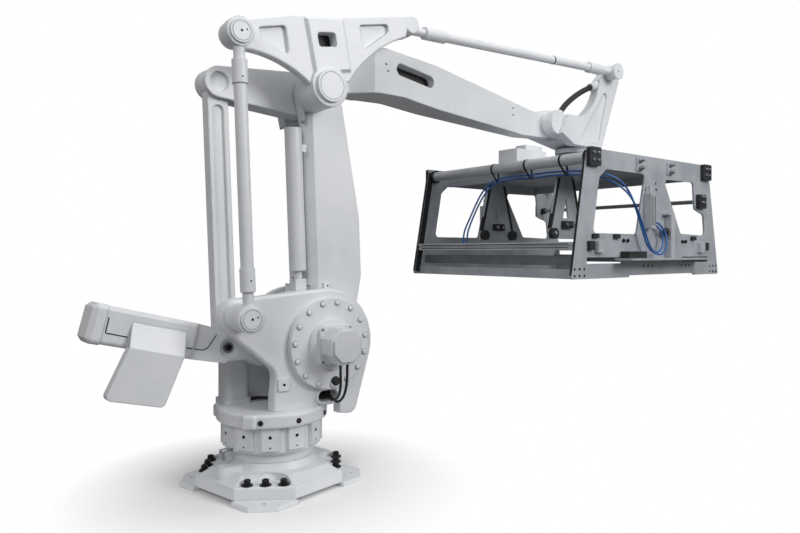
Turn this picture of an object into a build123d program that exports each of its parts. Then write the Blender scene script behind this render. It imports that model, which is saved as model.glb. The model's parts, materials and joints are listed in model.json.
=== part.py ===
from build123d import *
import math
import os

os.makedirs("parts", exist_ok=True)

# Palletising robot with parallel link arms and a frame gripper.
# Millimetres, X forward along the arm, Z up, Y negative on the near side.
# The origin is the slewing axis at floor level.

# Shared values
overrun = 5
running_gap = 0.08
open_gap = 1.2
seat_gap = 0.3
corner_count = 4

# Axes of the arm in the side view
axis2_x = 200
axis2_z = 685
lower_arm_lean = -50
lower_arm_rise = 1244
upper_arm_reach = 1933
upper_arm_rise = 85
rear_link_back = 480
rear_link_up = 157
crank_back = 453
front_link_ahead = 521
front_link_up = 406
wrist_axis_ahead = 337

# Floor plates and base casting
base_yaw = 11.8
base_half = 343
base_chamfer = 194
foot_half = 356
foot_size = 211
foot_chamfer = 94
foot_thick = 22
anchor_place = 277
anchor_hole_r = 9
base_wall_top = 78
base_slope_rise = 30
base_slope_taper = 62
base_slope_inset = 14
corner_land_r = 118
hub_low_r = 245
hub_r = 205
hub_top = 140
spigot_r = 150
spigot_rise = 42
nose_top = 134
nose_reach = 322
nose_round = 34
nose_root_r = 96
base_bolt_r = 11
base_bolt_out = 316
base_bolt_step = 82
base_round = 9
foot_round = 5

# Slewing housing under the turret
drum_r = 232
drum_low_r = 205
drum_ring_top = 190
drum_top = 317
drum_pad_count = 12
drum_pad_width = 84
drum_pad_proud = 14
drum_pad_low = 206

# Turret bed and side frames
bed_r = 272
bed_left = 238
bed_right = 126
bed_half = 200
bed_bevel = 34
bed_thick = 66
bed_round = 14
side_outer = 200
side_thick = 60
side_r = 268
side_foot_left = 96
far_foot_left = 60
side_foot_right = 333
side_corner_r = 46
side_foot_height = 62
side_round = 14
side_throat_r = 70
lug_r = 80
lug_boss_r = 62
link_pin_r = 30
cable_slot_length = 112
cable_slot_height = 56
cable_slot_x = 198
cable_slot_z = 425
slot_rim_width = 15
slot_rim_proud = 8
pad_size = 62
pad_round = 8
pad_proud = 8
pad_x = -46
pad_z = 508
shoulder_shaft_r = 58
flange_r = 224
flange_thick = 32
boss_r = 122
boss_thick = 30
motor_across = 172
motor_sides = 8
motor_length = 118
motor_rim = 12
motor_root = 186
motor_root_thick = 18
motor_root_round = 34
slewing_motor_x = -150
slewing_motor_y = 128
slewing_motor_r = 62
slewing_motor_top = 601
slewing_motor_foot = 70
slewing_motor_foot_thick = 26

# Lower arm, a forked box column
arm_half = 130
fork_half = 68
arm_lean_angle = math.degrees(math.atan2(lower_arm_lean, lower_arm_rise))
arm_length = math.hypot(lower_arm_lean, lower_arm_rise)
arm_rear = 38
arm_front = 262
arm_ear_rear = 62
arm_ear_low = 96
arm_ear_front = 190
arm_top_front = 178
arm_top_rear = 70
arm_ear_r = 96
arm_fill_low = 320
arm_fill_inset = 179
arm_corner_cut = 44
window_count = 5
window_height = 96
window_depth = 70
window_half = 58
elbow_shaft_r = 52

# Balance cylinder behind the lower arm
balance_back = 100
balance_eye_back = 125
balance_y = -105
balance_r = 42
balance_bore_r = 32
balance_low = 362
balance_rod_r = 20
balance_rod_inset = 485
balance_head_half = 26
balance_head_top = 322
balance_head_width = 62
balance_head_flare = 132
balance_head_mid = 236
balance_eye_r = 46
balance_eye_bore = 31
balance_pin_r = 12
balance_bracket = 40

# Link plate at the elbow
plate_near = 290
plate_thick = 45
plate_rear_r = 60
plate_front_r = 47
plate_hub_r = 98
plate_rise_thick = 15
plate_window_width = 104
plate_window_height = 68
plate_window_round = 16
plate_window_place = (-18, 219)
plate_slope = 10.5
plate_pocket_depth = 18
plate_pocket_round = 16
plate_edge_round = 8
elbow_cap_r = 78
elbow_cap_thick = 17

# Rear link
rear_eye_thick = 55
rear_eye_r = 64
rear_cap_r = 52
rear_cap_thick = 9
rear_tube_r = 29
rear_sleeve_r = 34
rear_neck_r = 25
rear_sleeve_start = 118
rear_sleeve_length = 104

# Crank lever with counterweight tail
crank_half = 60
crank_hub_r = 146
crank_eye_r = 74
crank_slot_half = 36
fork_gap = 8
fork_angle = 39
fork_reach = 330
arch_r = 150
arch_ahead = 40
arch_drop = 56
crank_pin_r = 27
crank_recess_r = 46
crank_recess_depth = 16
crank_round = 10
tail_rise_angle = 14.5
tail_start = 176
tail_length = 399
tail_height = 164
tail_half = 75
tail_round = 20
tail_cap_length = 60
tail_cap_extra = 4
guard_thick = 10
guard_top = 38
guard_knee = -72
guard_right = 46
guard_left = 289
guard_left_low = 336
guard_right_low = 81
guard_low = -300
guard_knee_out = 46
guard_flange = 45
guard_round = 22

# Crank rod
rod_half = 32
rod_width = 100
rod_eye_r = 66
rod_channel_width = 54
rod_channel_depth = 13
rod_channel_margin = 130

# Upper arm
upper_hub_half = 62
upper_hub_r = 112
upper_beam_half = 120
upper_tip_half = 46
upper_widen_start = 270
upper_widen_end = 400
upper_lever_r = 72
upper_slot_length = 288
upper_slot_height = 68
upper_slot_ahead = 697
upper_slot_up = 202
upper_slot_slope = 8
upper_tip_r = 96

# Front link
front_eye_near = 240
front_eye_thick = 70
front_eye_r = 50
front_cap_r = 58
front_cap_thick = 10
front_tube_r = 26
front_sleeve_r = 35
front_neck_r = 23
front_sleeve_start = 150
front_sleeve_length = 150
front_pin_r = 24

# Tilt housing at the wrist
tilt_ear_r = 82
tilt_ear_near = 126
tilt_ear_far = 126
tilt_cap_thick = 8
wrist_pin_r = 40
tilt_disc_r = 132
tilt_foot_drop = 173
tilt_foot_thick = 30
tilt_arm_near = 165
tilt_arm_thick = 62
tilt_arm_foot_ahead = 122
tilt_arm_top_r = 58
tilt_groove_depth = 12
tilt_groove_top_r = 24
tilt_groove_low_r = 16
hose_collar_r = 27
hose_collar_in = 60
hose_collar_out = 105
hose_collar_angle = 50
hose_collar_y = -90
hose_end_angle = 23
hose_end_length = 90

# Gripper frame
grip_half_y = 690
grip_back = 101
grip_drop = 106
grip_height = 754
grip_top_half = 693
grip_low_half = 834
end_plate_thick = 12
tool_flange_r = 100
tool_flange_height = 40
tool_spigot_r = 46
tool_spigot_depth = 24
adapter_half_x = 190
adapter_half_y = 150
top_plate_thick = 14
top_plate_drop = 126
top_plate_inset = 193
top_rib_height = 58
top_rib_thick = 12
tube_r = 34
tube_wall = 4
tube_inset_x = 52
tube_drop = 52
clamp_width = 104
clamp_height = 108
clamp_thick = 26
rod_clamp_size = 96
cross_rod_r = 14
cross_rod_drop = 255
cross_rod_inset = 258
profile_size = 45
profile_slot = 8
profile_inset = 60
profile_up = 167
profile_slot_depth = 9
low_rail_width = 12
low_rail_height = 54
kick_plate_thick = 8
kick_plate_height = 58
kick_plate_up = 76
a_frame_y = 300
a_frame_half_low = 175
a_frame_half_top = 70
a_frame_thick = 14
a_frame_up = 238
a_frame_back = 384
a_window_share = 0.42
wheel_r = 34
wheel_thick = 30
cylinder_size = 52
cylinder_rod_r = 9
cylinder_back = 81
cylinder_up = 299
cylinder_length = 217
guide_size = 44
guide_ahead = 157
guide_up = 390
tray_depth = 118
tray_thick = 12
tray_back = 421
tray_ahead = 517
tray_up = 104
valve_length = 190
valve_height = 42
valve_depth = 60
box_length = 296
box_tube_gap = 9
box_width = 170
box_height = 122
box_top_length = 165
box_top_ahead = 130
box_top_height = 38

# Link plate outline, pockets and raised band, X and Z from the elbow
plate_top_line = [(-492, 212), (-193, 301), (85, 350), (505, 449)]
plate_front_arch = [(478, 332), (300, 232), (118, 40)]
plate_rear_arch = [(-84, -16), (-240, 71), (-474, 98)]
rear_pocket = [(-374, 210), (-232, 247), (-212, 112), (-356, 162)]
front_pocket = [(176, 333), (360, 376), (360, 334), (206, 212)]
raised_band = [(-140, 305), (79, 346), (128, 90), (-84, 40)]
raised_band_taper = 40

# Upper arm outline, X and Z from the elbow and from the wrist
upper_top_line = [(-60, 100), (250, 282), (470, 316), (866, 288)]
upper_neck_top = (-153, 61)
upper_neck_low = (-259, -106)
upper_belly_line = [(866, 38), (606, 68), (442, 66), (236, 46), (60, -96)]

# Tilt arm outline and groove, X and Z from the wrist
tilt_boss_side = [(60, 56), (205, 59)]
tilt_rear_arch = [(205, 59), (338, 161), (416, 348)]
tilt_front_side = [(416, 348), (470, 400), (600, 400), (648, 369), (436, -143), (130, -143), (0, -75),
                   (60, 56)]
tilt_groove_top = (478, 235)
tilt_groove_low = [(225, -80), (395, -80)]
hose_end_place = (428, 321)

# Window shares of the end plate's length and height
left_window_shares = [(0.12, 0.35), (0.157, 0.78), (0.198, 0.85), (0.444, 0.85), (0.387, 0.35)]
right_window_shares = [(0.697, 0.365), (0.572, 0.825), (0.796, 0.83), (0.806, 0.59), (0.878, 0.545),
                       (0.888, 0.355)]
slot_window_shares = [(0.085, 0.115), (0.085, 0.163), (0.294, 0.163), (0.294, 0.115)]
plate_notch_shares = (0.34, 0.8)
plate_notch_height = 12
plate_corner_r = 14
window_corner_r = 26
clamp_round = 10

# Cables and hoses: diameters and the points of each route
cord_arc_share = 0.45
motor_cable_d = 13
wrist_hose_d = 39
air_hose_d = 12
motor_cable_left_route = [
    (183, -340, 599), (183, -340, 553), (186, -337, 506), (192, -321, 461), (199, -289, 426),
    (205, -246, 408), (208, -200, 416), (204, -156, 424), (190, -113, 420), (164, -76, 411),
    (130, -44, 402), (92, -13, 395), (50, 18, 392), (6, 64, 394), (-34, 84, 396), (-80, 84, 396)]
motor_cable_right_route = [
    (222, -340, 599), (222, -340, 551), (220, -338, 502), (219, -325, 455), (219, -297, 419),
    (221, -258, 398), (225, -212, 402), (226, -165, 420), (214, -120, 433), (190, -79, 434),
    (160, -44, 424), (126, -12, 411), (90, 20, 400), (52, 54, 394), (10, 90, 392), (-34, 112, 396),
    (-80, 112, 396)]
wrist_hose_route = [
    (67.494, -90, 80.436), (102.847, -90, 122.568), (157, -99, 172), (218, -115, 219),
    (280.717, -134, 258.482), (345.153, -134, 285.833)]
air_hose_left_route = [
    (1559, 250, 1193), (1559, 250, 1253), (1584, 245, 1313), (1614, 236, 1376), (1641, 222, 1444),
    (1664, 198, 1514), (1684, 155, 1577), (1697, 90, 1617), (1701, -55, 1627), (1698, -205, 1621),
    (1702, -355, 1626), (1703, -490, 1620), (1735, -575, 1618), (1800, -640, 1608), (1868, -692, 1588),
    (1940, -722, 1546), (2003, -731, 1483), (2053, -730, 1410), (2097, -729, 1334), (2136, -730, 1256),
    (2168, -733, 1186), (2212, -737, 1142), (2272, -739, 1128), (2328, -738, 1148), (2362, -733, 1196),
    (2360, -727, 1246), (2336, -720, 1284), (2299, -716, 1304), (2264, -716, 1304)]
air_hose_right_route = [
    (1559, 215, 1193), (1559, 215, 1251), (1580, 211, 1309), (1607, 204, 1370), (1634, 191, 1436),
    (1660, 168, 1503), (1684, 128, 1564), (1706, 68, 1602), (1721, -60, 1610), (1719, -205, 1604),
    (1722, -350, 1608), (1724, -478, 1602), (1758, -558, 1600), (1822, -624, 1590), (1890, -682, 1556),
    (1955, -728, 1504), (2010, -747, 1440), (2062, -749, 1368), (2106, -748, 1296), (2146, -749, 1226),
    (2174, -753, 1170), (2216, -758, 1128), (2278, -761, 1116), (2338, -758, 1137), (2379, -750, 1186),
    (2384, -738, 1248), (2352, -726, 1300), (2308, -716, 1324), (2264, -716, 1324)]

shoulder = Vector(axis2_x, 0, axis2_z)
elbow = shoulder + Vector(lower_arm_lean, 0, lower_arm_rise)
wrist = elbow + Vector(upper_arm_reach, 0, upper_arm_rise)
rear_offset = Vector(-rear_link_back, 0, rear_link_up)
front_offset = Vector(front_link_ahead, 0, front_link_up)
crank_offset = Vector(-crank_back, 0, 0)
rear_low_pin = shoulder + rear_offset
rear_top_pin = elbow + rear_offset
front_rear_pin = elbow + front_offset
front_wrist_pin = wrist + front_offset
crank_pin_place = shoulder + crank_offset
lever_pin_place = elbow + crank_offset
wrist_axis_x = wrist.X + wrist_axis_ahead
along_arm = Vector(lower_arm_lean, 0, lower_arm_rise).normalized()
across_arm = Vector(lower_arm_rise, 0, -lower_arm_lean).normalized()
arm_fill_top = arm_length - arm_fill_inset
balance_top = arm_fill_top
balance_rod_top = arm_length - balance_rod_inset
bed_top = drum_top + bed_thick
tilt_foot_low = wrist.Z - tilt_foot_drop
tilt_foot_high = tilt_foot_low + tilt_foot_thick
tool_flange_low = tilt_foot_low - tool_flange_height
top_plate_low = tool_flange_low - top_plate_drop
grip_top = tilt_foot_low - grip_drop
grip_low = grip_top - grip_height
grip_mid_x = wrist_axis_x - grip_back
deck_half_x = grip_top_half - top_plate_inset
deck_half_y = grip_half_y - end_plate_thick
cross_rod_x = grip_mid_x + grip_low_half - cross_rod_inset
cross_rod_z = grip_top - cross_rod_drop
profile_left_x = grip_mid_x - grip_low_half + profile_inset
profile_z = grip_low + profile_up
kick_plate_z = grip_low + kick_plate_up
a_frame_x = grip_mid_x - a_frame_back
a_frame_low = grip_low + a_frame_up
cylinder_x = grip_mid_x - cylinder_back
cylinder_low = grip_low + cylinder_up
cylinder_high = cylinder_low + cylinder_length
guide_x = grip_mid_x + guide_ahead
guide_high = grip_low + guide_up
tray_low_x = grip_mid_x - tray_back
tray_high_x = grip_mid_x + tray_ahead
tray_z = grip_low + tray_up
box_x = grip_mid_x - grip_top_half + tube_inset_x + tube_r + box_tube_gap


def side_plane(y):
    """The upright plane at this Y: drawn as X and Z, its extrusions run towards the near side."""
    return Plane(origin=(0, y, 0), x_dir=(1, 0, 0), z_dir=(0, -1, 0))


def between(sketch, near, far):
    """A side view outline thickened from Y near to Y far."""
    return extrude(side_plane(far) * sketch, amount=far - near)


def disc(place, radius, near, far):
    """A round piece along Y about a point of the side view."""
    return between(Pos(place.X, place.Z) * Circle(radius), near, far)


def spot(place, radius):
    """A circle of the side view, used to build outlines."""
    return Pos(place.X, place.Z) * Circle(radius)


def hull(*sketches):
    """The outline stretched round several side view shapes."""
    edges = []
    for sketch in sketches:
        edges += list(sketch.edges())
    return make_hull(edges)


def outline(points):
    """A closed side view polygon from X and Z pairs."""
    return make_face(Polyline(*points, close=True))


def rounded(points, radius):
    """A polygon with rounded corners."""
    face = outline(points)
    return fillet(face.vertices(), radius=radius)


def on_arm(forward, along):
    """A side view point in front of the lower arm's pivot line and along it."""
    place = shoulder + across_arm * forward + along_arm * along
    return (place.X, place.Z)


def upright(radius, x, y, low, high):
    """A round post between two heights."""
    return Pos(x, y, low) * extrude(Circle(radius), amount=high - low)


def block(x0, x1, y0, y1, z0, z1):
    """A box between corner values."""
    centre = ((x0 + x1) / 2, (y0 + y1) / 2, (z0 + z1) / 2)
    return Pos(*centre) * Box(x1 - x0, y1 - y0, z1 - z0)


def save(name, shape):
    """Write one node of the model."""
    export_step(shape, "parts/" + name + ".step")


def chamfered_square(half, chamfer):
    """A square with its four corners cut at 45 degrees."""
    points = []
    for turn in range(corner_count):
        start = Vector(half, -(half - chamfer)).rotate(Axis.Z, turn * 360 / corner_count)
        end = Vector(half, half - chamfer).rotate(Axis.Z, turn * 360 / corner_count)
        points += [(start.X, start.Y), (end.X, end.Y)]
    return make_face(Polyline(*points, close=True))


def make_floor_plates():
    """Four corner plates on the floor, each with an anchor hole beyond the casting."""
    inner = foot_half - foot_size
    points = [(inner, inner), (foot_half, inner), (foot_half, foot_half - foot_chamfer)]
    points += [(foot_half - foot_chamfer, foot_half), (inner, foot_half)]
    plate = extrude(make_face(Polyline(*points, close=True)), amount=foot_thick)
    plate = fillet(plate.faces().sort_by(Axis.Z)[-1].edges(), radius=foot_round)
    plate -= upright(anchor_hole_r, anchor_place, anchor_place, -overrun, foot_thick + overrun)
    plates = [Rot(0, 0, base_yaw + turn * 360 / corner_count) * plate for turn in range(corner_count)]
    return Compound(children=plates)


def make_base_casting():
    """The chamfered square casting with a sloped top, corner lands, a round hub and a cable nose."""
    body = Pos(0, 0, foot_thick) * extrude(
        chamfered_square(base_half, base_chamfer), amount=base_wall_top - foot_thick)
    body = fillet(body.faces().sort_by(Axis.Z)[-1].edges(), radius=base_round)
    slope = extrude(
        Pos(0, 0, base_wall_top) * chamfered_square(base_half - base_slope_inset, base_chamfer),
        amount=base_slope_rise, taper=base_slope_taper)
    for turn in range(corner_count):
        corner = Vector(base_half - base_chamfer / 2, base_half - base_chamfer / 2)
        corner = corner.rotate(Axis.Z, turn * 360 / corner_count)
        slope -= upright(corner_land_r, corner.X, corner.Y, base_wall_top, base_wall_top + hub_r)
    slope_top = base_wall_top + base_slope_rise
    nose_start = (base_wall_top + foot_thick) / 2
    plan = hull(Circle(nose_root_r), Pos(-nose_reach + nose_round, 0) * Circle(nose_round))
    nose = extrude(Pos(0, 0, nose_start) * plan, amount=nose_top - nose_start)
    base = body + slope + nose
    base += Pos(0, 0, base_wall_top) * Cone(
        hub_low_r, hub_r, hub_top - base_wall_top, align=(Align.CENTER, Align.CENTER, Align.MIN))
    base += upright(spigot_r, 0, 0, slope_top, hub_top + spigot_rise)
    for turn in range(corner_count):
        for step in (-1, 0, 1):
            angle = (2 * turn + 1) * 180 / corner_count
            place = Vector(base_bolt_out, step * base_bolt_step).rotate(Axis.Z, angle)
            base -= upright(base_bolt_r, place.X, place.Y, 0, base_wall_top + overrun)
    return Rot(0, 0, base_yaw) * base


def make_slewing_housing():
    """The turning drum with its ring of pads, bored to run on the base spigot."""
    low = hub_top + seat_gap
    drum = upright(drum_low_r, 0, 0, low, drum_ring_top)
    drum += upright(drum_r, 0, 0, drum_ring_top, drum_top)
    for count in range(drum_pad_count):
        pad = block(drum_r / 2, drum_r + drum_pad_proud, -drum_pad_width / 2, drum_pad_width / 2,
                    drum_pad_low, drum_top)
        drum += Rot(0, 0, count * 360 / drum_pad_count) * pad
    drum -= upright(spigot_r + running_gap, 0, 0, low - overrun, hub_top + spigot_rise + seat_gap)
    return drum


def make_turret_bed():
    """The round and bevelled plate that carries both side frames."""
    plan = Circle(bed_r)
    square = Pos((bed_right - bed_left) / 2, 0) * Rectangle(bed_left + bed_right, 2 * bed_half)
    square = chamfer(square.vertices(), length=bed_bevel)
    bed = extrude(Pos(0, 0, drum_top) * (plan + square), amount=bed_thick)
    rims = bed.faces().sort_by(Axis.Z)[-1].edges() + bed.faces().sort_by(Axis.Z)[0].edges()
    return fillet(rims, radius=bed_round)


def side_frame_outline(with_lug):
    """A round shoulder cheek on a foot, with a lug reaching back to the rear link."""
    foot_low = drum_top
    corner = Vector(side_foot_right, 0, foot_low + side_corner_r)
    foot_left = side_foot_left if with_lug else far_foot_left
    left = Pos(-foot_left + side_corner_r, bed_top + side_foot_height / 2)
    foot = left * Rectangle(2 * side_corner_r, side_foot_height)
    shape = hull(spot(shoulder, side_r), spot(corner, side_corner_r), foot)
    if with_lug:
        shape += hull(spot(shoulder, side_r), spot(rear_low_pin, lug_r))
        throat = shape.vertices().filter_by_position(Axis.X, -side_foot_left + overrun, 0)
        shape = fillet(throat, radius=side_throat_r)
    return shape


def make_side_frame(near):
    """One cheek of the turret; the near one has the link lug and the cable slot."""
    shape = side_frame_outline(near)
    y0, y1 = (-side_outer, -side_outer + side_thick) if near else (side_outer - side_thick, side_outer)
    cheek = between(shape, y0, y1)
    outer = cheek.faces().sort_by(Axis.Y)[0 if near else -1]
    cheek = fillet(outer.edges(), radius=side_round)
    overhang = cheek & block(bed_r + seat_gap, bed_r * 3, y0, y1, 0, bed_top)
    cheek -= block(-bed_r * 2, bed_r * 2, -bed_half * 2, bed_half * 2, 0, bed_top)
    cheek += overhang
    cheek -= disc(shoulder, shoulder_shaft_r, -side_outer * 2, side_outer * 2)
    if near:
        slot = Pos(cable_slot_x, cable_slot_z) * SlotOverall(cable_slot_length, cable_slot_height)
        rim = offset(slot, slot_rim_width) - spot(shoulder, flange_r + seat_gap)
        cheek += between(rim, y0 - slot_rim_proud, y0)
        cheek -= between(slot, y0 - slot_rim_proud - overrun, y1 + overrun)
        pad = Pos(pad_x, pad_z) * RectangleRounded(pad_size, pad_size, pad_round)
        cheek += between(pad, y0 - pad_proud, y0)
        lug_face = -plate_near + seat_gap
        cheek += disc(rear_low_pin, lug_boss_r, lug_face, y0)
        pin_end = -plate_near - rear_eye_thick
        cheek += disc(rear_low_pin, link_pin_r, pin_end, y0)
        pin = shoulder + Vector(-balance_eye_back, 0, 0)
        cheek += disc(pin, balance_pin_r, y1, balance_y + balance_head_half)
    return cheek


def make_shoulder_shaft():
    """The shaft that both the lower arm and the crank lever turn on."""
    return disc(shoulder, shoulder_shaft_r, -side_outer, side_outer)


def make_shoulder_flange(side):
    """The gear unit's round flange and the smaller motor seat on it."""
    face = side_outer + flange_thick
    parts = between(spot(shoulder, flange_r), side_outer, face)
    parts += between(spot(shoulder, boss_r), face, face + boss_thick)
    return parts if side > 0 else parts.mirror(Plane.XZ)


def make_shoulder_motor(side):
    """An eight sided motor cover with a rimmed end."""
    seat = side_outer + flange_thick + boss_thick
    turned = Pos(shoulder.X, shoulder.Z) * Rot(0, 0, 180 / motor_sides)
    octagon = turned * RegularPolygon(motor_across / 2, motor_sides, major_radius=False)
    cover = between(octagon, seat, seat + motor_length - motor_rim)
    small = turned * RegularPolygon(motor_across / 2 - motor_rim, motor_sides, major_radius=False)
    cover += between(small, seat, seat + motor_length)
    root = Pos(shoulder.X, shoulder.Z) * RectangleRounded(motor_root, motor_root, motor_root_round)
    cover += between(root, seat, seat + motor_root_thick)
    return cover if side > 0 else cover.mirror(Plane.XZ)


def make_slewing_motor():
    """The upright motor that turns the turret."""
    foot = Pos(slewing_motor_x, slewing_motor_y, bed_top) * extrude(
        RectangleRounded(2 * slewing_motor_foot, 2 * slewing_motor_foot, slewing_motor_foot / 3),
        amount=slewing_motor_foot_thick)
    body_side = 2 * slewing_motor_r
    body = Pos(slewing_motor_x, slewing_motor_y, bed_top) * extrude(
        RectangleRounded(body_side, body_side, slewing_motor_r / 2), amount=slewing_motor_top - bed_top)
    return foot + body


def make_lower_arm():
    """A forked box column: ears at both ends, a filled middle and pockets in the rear."""
    ear = [on_arm(-arm_ear_rear, -arm_ear_low / 2), on_arm(0, -arm_ear_low)]
    ear += [on_arm(arm_ear_front / 2, -arm_ear_low), on_arm(arm_ear_front, 0)]
    ear += [on_arm(arm_front, arm_fill_low), on_arm(arm_front, arm_length / 2)]
    ear += [on_arm(arm_top_front, arm_length - arm_ear_r / 2), on_arm(arm_ear_r, arm_length + arm_ear_r)]
    ear += [on_arm(-arm_top_rear / 2, arm_length + arm_ear_r), on_arm(-arm_top_rear, arm_length)]
    ear += [on_arm(-arm_rear, arm_fill_top), on_arm(-arm_rear, arm_length / 2)]
    ear += [on_arm(-arm_rear, arm_fill_low), on_arm(-arm_ear_rear, arm_fill_low / 2)]
    wall = outline(ear)
    arm = between(wall, -arm_half, arm_half)
    gap_low = [on_arm(-arm_front * 2, -arm_front), on_arm(arm_front * 2, -arm_front)]
    gap_low += [on_arm(arm_front * 2, arm_fill_low), on_arm(-arm_front * 2, arm_fill_low)]
    arm -= between(outline(gap_low), -fork_half, fork_half)
    gap_top = [on_arm(-arm_front * 2, arm_fill_top), on_arm(arm_front * 2, arm_fill_top)]
    gap_top += [on_arm(arm_front * 2, arm_length * 2), on_arm(-arm_front * 2, arm_length * 2)]
    arm -= between(outline(gap_top), -fork_half, fork_half)
    pitch = (arm_fill_top - arm_fill_low) / window_count
    for count in range(window_count):
        low = arm_fill_low + pitch * (count + 1 / 2) - window_height / 2
        high = low + window_height
        floor = window_depth - arm_rear
        pocket = [on_arm(-arm_front, low), on_arm(floor, low), on_arm(floor, high), on_arm(-arm_front, high)]
        arm -= between(outline(pocket), -window_half, window_half)
    for side in (-1, 1):
        edge = [(-arm_rear - overrun, side * (arm_half + overrun))]
        edge += [(arm_corner_cut - arm_rear, side * (arm_half + overrun))]
        edge += [(-arm_rear - overrun, side * (arm_half - arm_corner_cut))]
        wedge = extrude(Pos(0, 0, arm_ear_low) * make_face(Polyline(*edge, close=True)),
                        amount=arm_length - arm_ear_low - arm_ear_r)
        arm -= arm_tilted(wedge)
    arm -= disc(shoulder, shoulder_shaft_r + running_gap, -arm_half * 2, arm_half * 2)
    arm -= disc(elbow, elbow_shaft_r, -arm_half * 2, arm_half * 2)
    return arm


def make_elbow_shaft():
    """The elbow shaft, held by the lower arm's ears and reaching out to the link plate."""
    return disc(elbow, elbow_shaft_r, -plate_near - plate_rise_thick, arm_half)


def arm_tilted(solid):
    """Stand a piece drawn upright along Z at the shoulder in line with the lower arm."""
    return Pos(*shoulder) * Rot(0, arm_lean_angle, 0) * solid


def make_balance_tube():
    """The balance cylinder's tube, closed at the top and bored for its rod."""
    tube = upright(balance_r, -balance_back, balance_y, balance_low, balance_top)
    tube -= upright(balance_rod_r + running_gap, -balance_back, balance_y,
                    balance_low - overrun, balance_low + balance_bore_r)
    tube -= upright(balance_bore_r, -balance_back, balance_y,
                    balance_low + balance_bore_r, balance_top - balance_bore_r)
    y0 = balance_y - balance_bracket / 2
    y1 = balance_y + balance_bracket / 2
    tube += block(-balance_back, -arm_rear, y0, y1, balance_top - 3 * balance_bracket,
                  balance_top - 2 * balance_bracket)
    return arm_tilted(tube)


def make_balance_rod():
    """The rod with its flared head and the eye on the turret's hidden pin."""
    rod = upright(balance_rod_r, -balance_back, balance_y, balance_head_mid, balance_rod_top)
    half = balance_head_width / 2
    points = [(-balance_back - half, balance_head_top), (-balance_back + half, balance_head_top)]
    points += [(-balance_back + half, 0), (-balance_back - half, 0)]
    points += [(-balance_back - half, balance_head_mid / 2)]
    points += [(-balance_back - balance_head_flare, balance_head_mid)]
    points += [(-balance_back - balance_head_flare, balance_head_mid + half / 2)]
    points += [(-balance_back - half, balance_head_mid + half)]
    y0 = balance_y - balance_head_half
    y1 = balance_y + balance_head_half
    rod += between(outline(points), y0, y1)
    eye = Vector(-balance_eye_back, 0, 0)
    rod += disc(eye, balance_eye_r, y0, y1)
    rod -= disc(eye, balance_eye_bore, y0 - overrun, y1 + overrun)
    return arm_tilted(rod)


def from_elbow(points):
    """Side view points given from the elbow."""
    return [(elbow.X + x, elbow.Z + z) for x, z in points]


def make_link_plate():
    """The three cornered casting at the elbow, arched below, with pockets and a raised band."""
    near = -plate_near
    far = near + plate_thick
    top, front, rear = plate_top_line, plate_front_arch, plate_rear_arch
    edges = [Polyline(*top), Line(top[-1], front[0]), ThreePointArc(*front), Line(front[-1], rear[0])]
    edges += [ThreePointArc(*rear), Line(rear[-1], top[0])]
    shape = make_face(edges)
    shape += spot(rear_offset, plate_rear_r) + Circle(plate_hub_r) + spot(front_offset, plate_front_r)
    plate = between(shape, near, far)
    plate = Pos(elbow) * fillet(plate.faces().sort_by(Axis.Y)[0].edges(), radius=plate_edge_round)
    for pocket in (rear_pocket, front_pocket):
        hollow = rounded(from_elbow(pocket), plate_pocket_round)
        plate -= between(hollow, near - overrun, near + plate_pocket_depth)
    band = side_plane(near) * outline(from_elbow(raised_band))
    plate += extrude(band, amount=plate_rise_thick, taper=raised_band_taper)
    plate += disc(elbow, plate_hub_r, near - plate_rise_thick, -arm_half - seat_gap)
    window = Pos(*from_elbow([plate_window_place])[0]) * Rot(0, 0, plate_slope) * RectangleRounded(
        plate_window_width, plate_window_height, plate_window_round)
    plate -= between(window, near - plate_rise_thick - overrun, far + overrun)
    plate -= disc(elbow, elbow_shaft_r + running_gap, near - plate_rise_thick - overrun, 0)
    plate += disc(rear_top_pin, link_pin_r, near - rear_eye_thick, near)
    plate += disc(front_rear_pin, front_pin_r, far, -front_eye_near + front_eye_thick)
    return plate


def make_elbow_cap():
    """The round cover over the end of the elbow shaft."""
    near = -plate_near - plate_rise_thick
    return disc(elbow, elbow_cap_r, near - elbow_cap_thick, near)


def link_bar(start, end, y, radius, margin):
    """A round bar between two pivots, stopping short of each by a margin."""
    direction = (end - start).normalized()
    low = start + direction * margin + Vector(0, y, 0)
    plane = Plane(origin=low, z_dir=direction)
    length = (end - start).length - 2 * margin
    return extrude(plane * Circle(radius), amount=length)


def make_link_end(pin, other, near, far, sizes, gap):
    """An eye on a pin, drawn out along the link into the sleeve that grips the tube."""
    eye_r, pin_r, neck_r, sleeve_r, sleeve_start, sleeve_length = sizes
    y = (near + far) / 2
    direction = (other - pin).normalized()
    root = Plane(origin=pin + Vector(0, y, 0), z_dir=direction)
    sleeve = Plane(origin=pin + direction * sleeve_start + Vector(0, y, 0), z_dir=direction)
    end = disc(pin, eye_r, near, far)
    end += extrude(root * Circle(neck_r), amount=sleeve_start)
    end += extrude(sleeve * Circle(sleeve_r), amount=sleeve_length)
    end -= disc(pin, pin_r + gap, near - overrun, far + overrun)
    return end


def make_rear_link_end(pin, other, gap):
    """One end of the rear link with the round cap over its pin."""
    near = -plate_near - rear_eye_thick
    far = -plate_near - seat_gap
    sizes = (rear_eye_r, link_pin_r, rear_neck_r, rear_sleeve_r, rear_sleeve_start, rear_sleeve_length)
    end = make_link_end(pin, other, near, far, sizes, gap)
    end += disc(pin, rear_cap_r, near - rear_cap_thick, near - seat_gap)
    end += disc(pin, rear_cap_r, near - seat_gap, near)
    end -= disc(pin, link_pin_r + gap, near - seat_gap, near)
    return end


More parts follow.
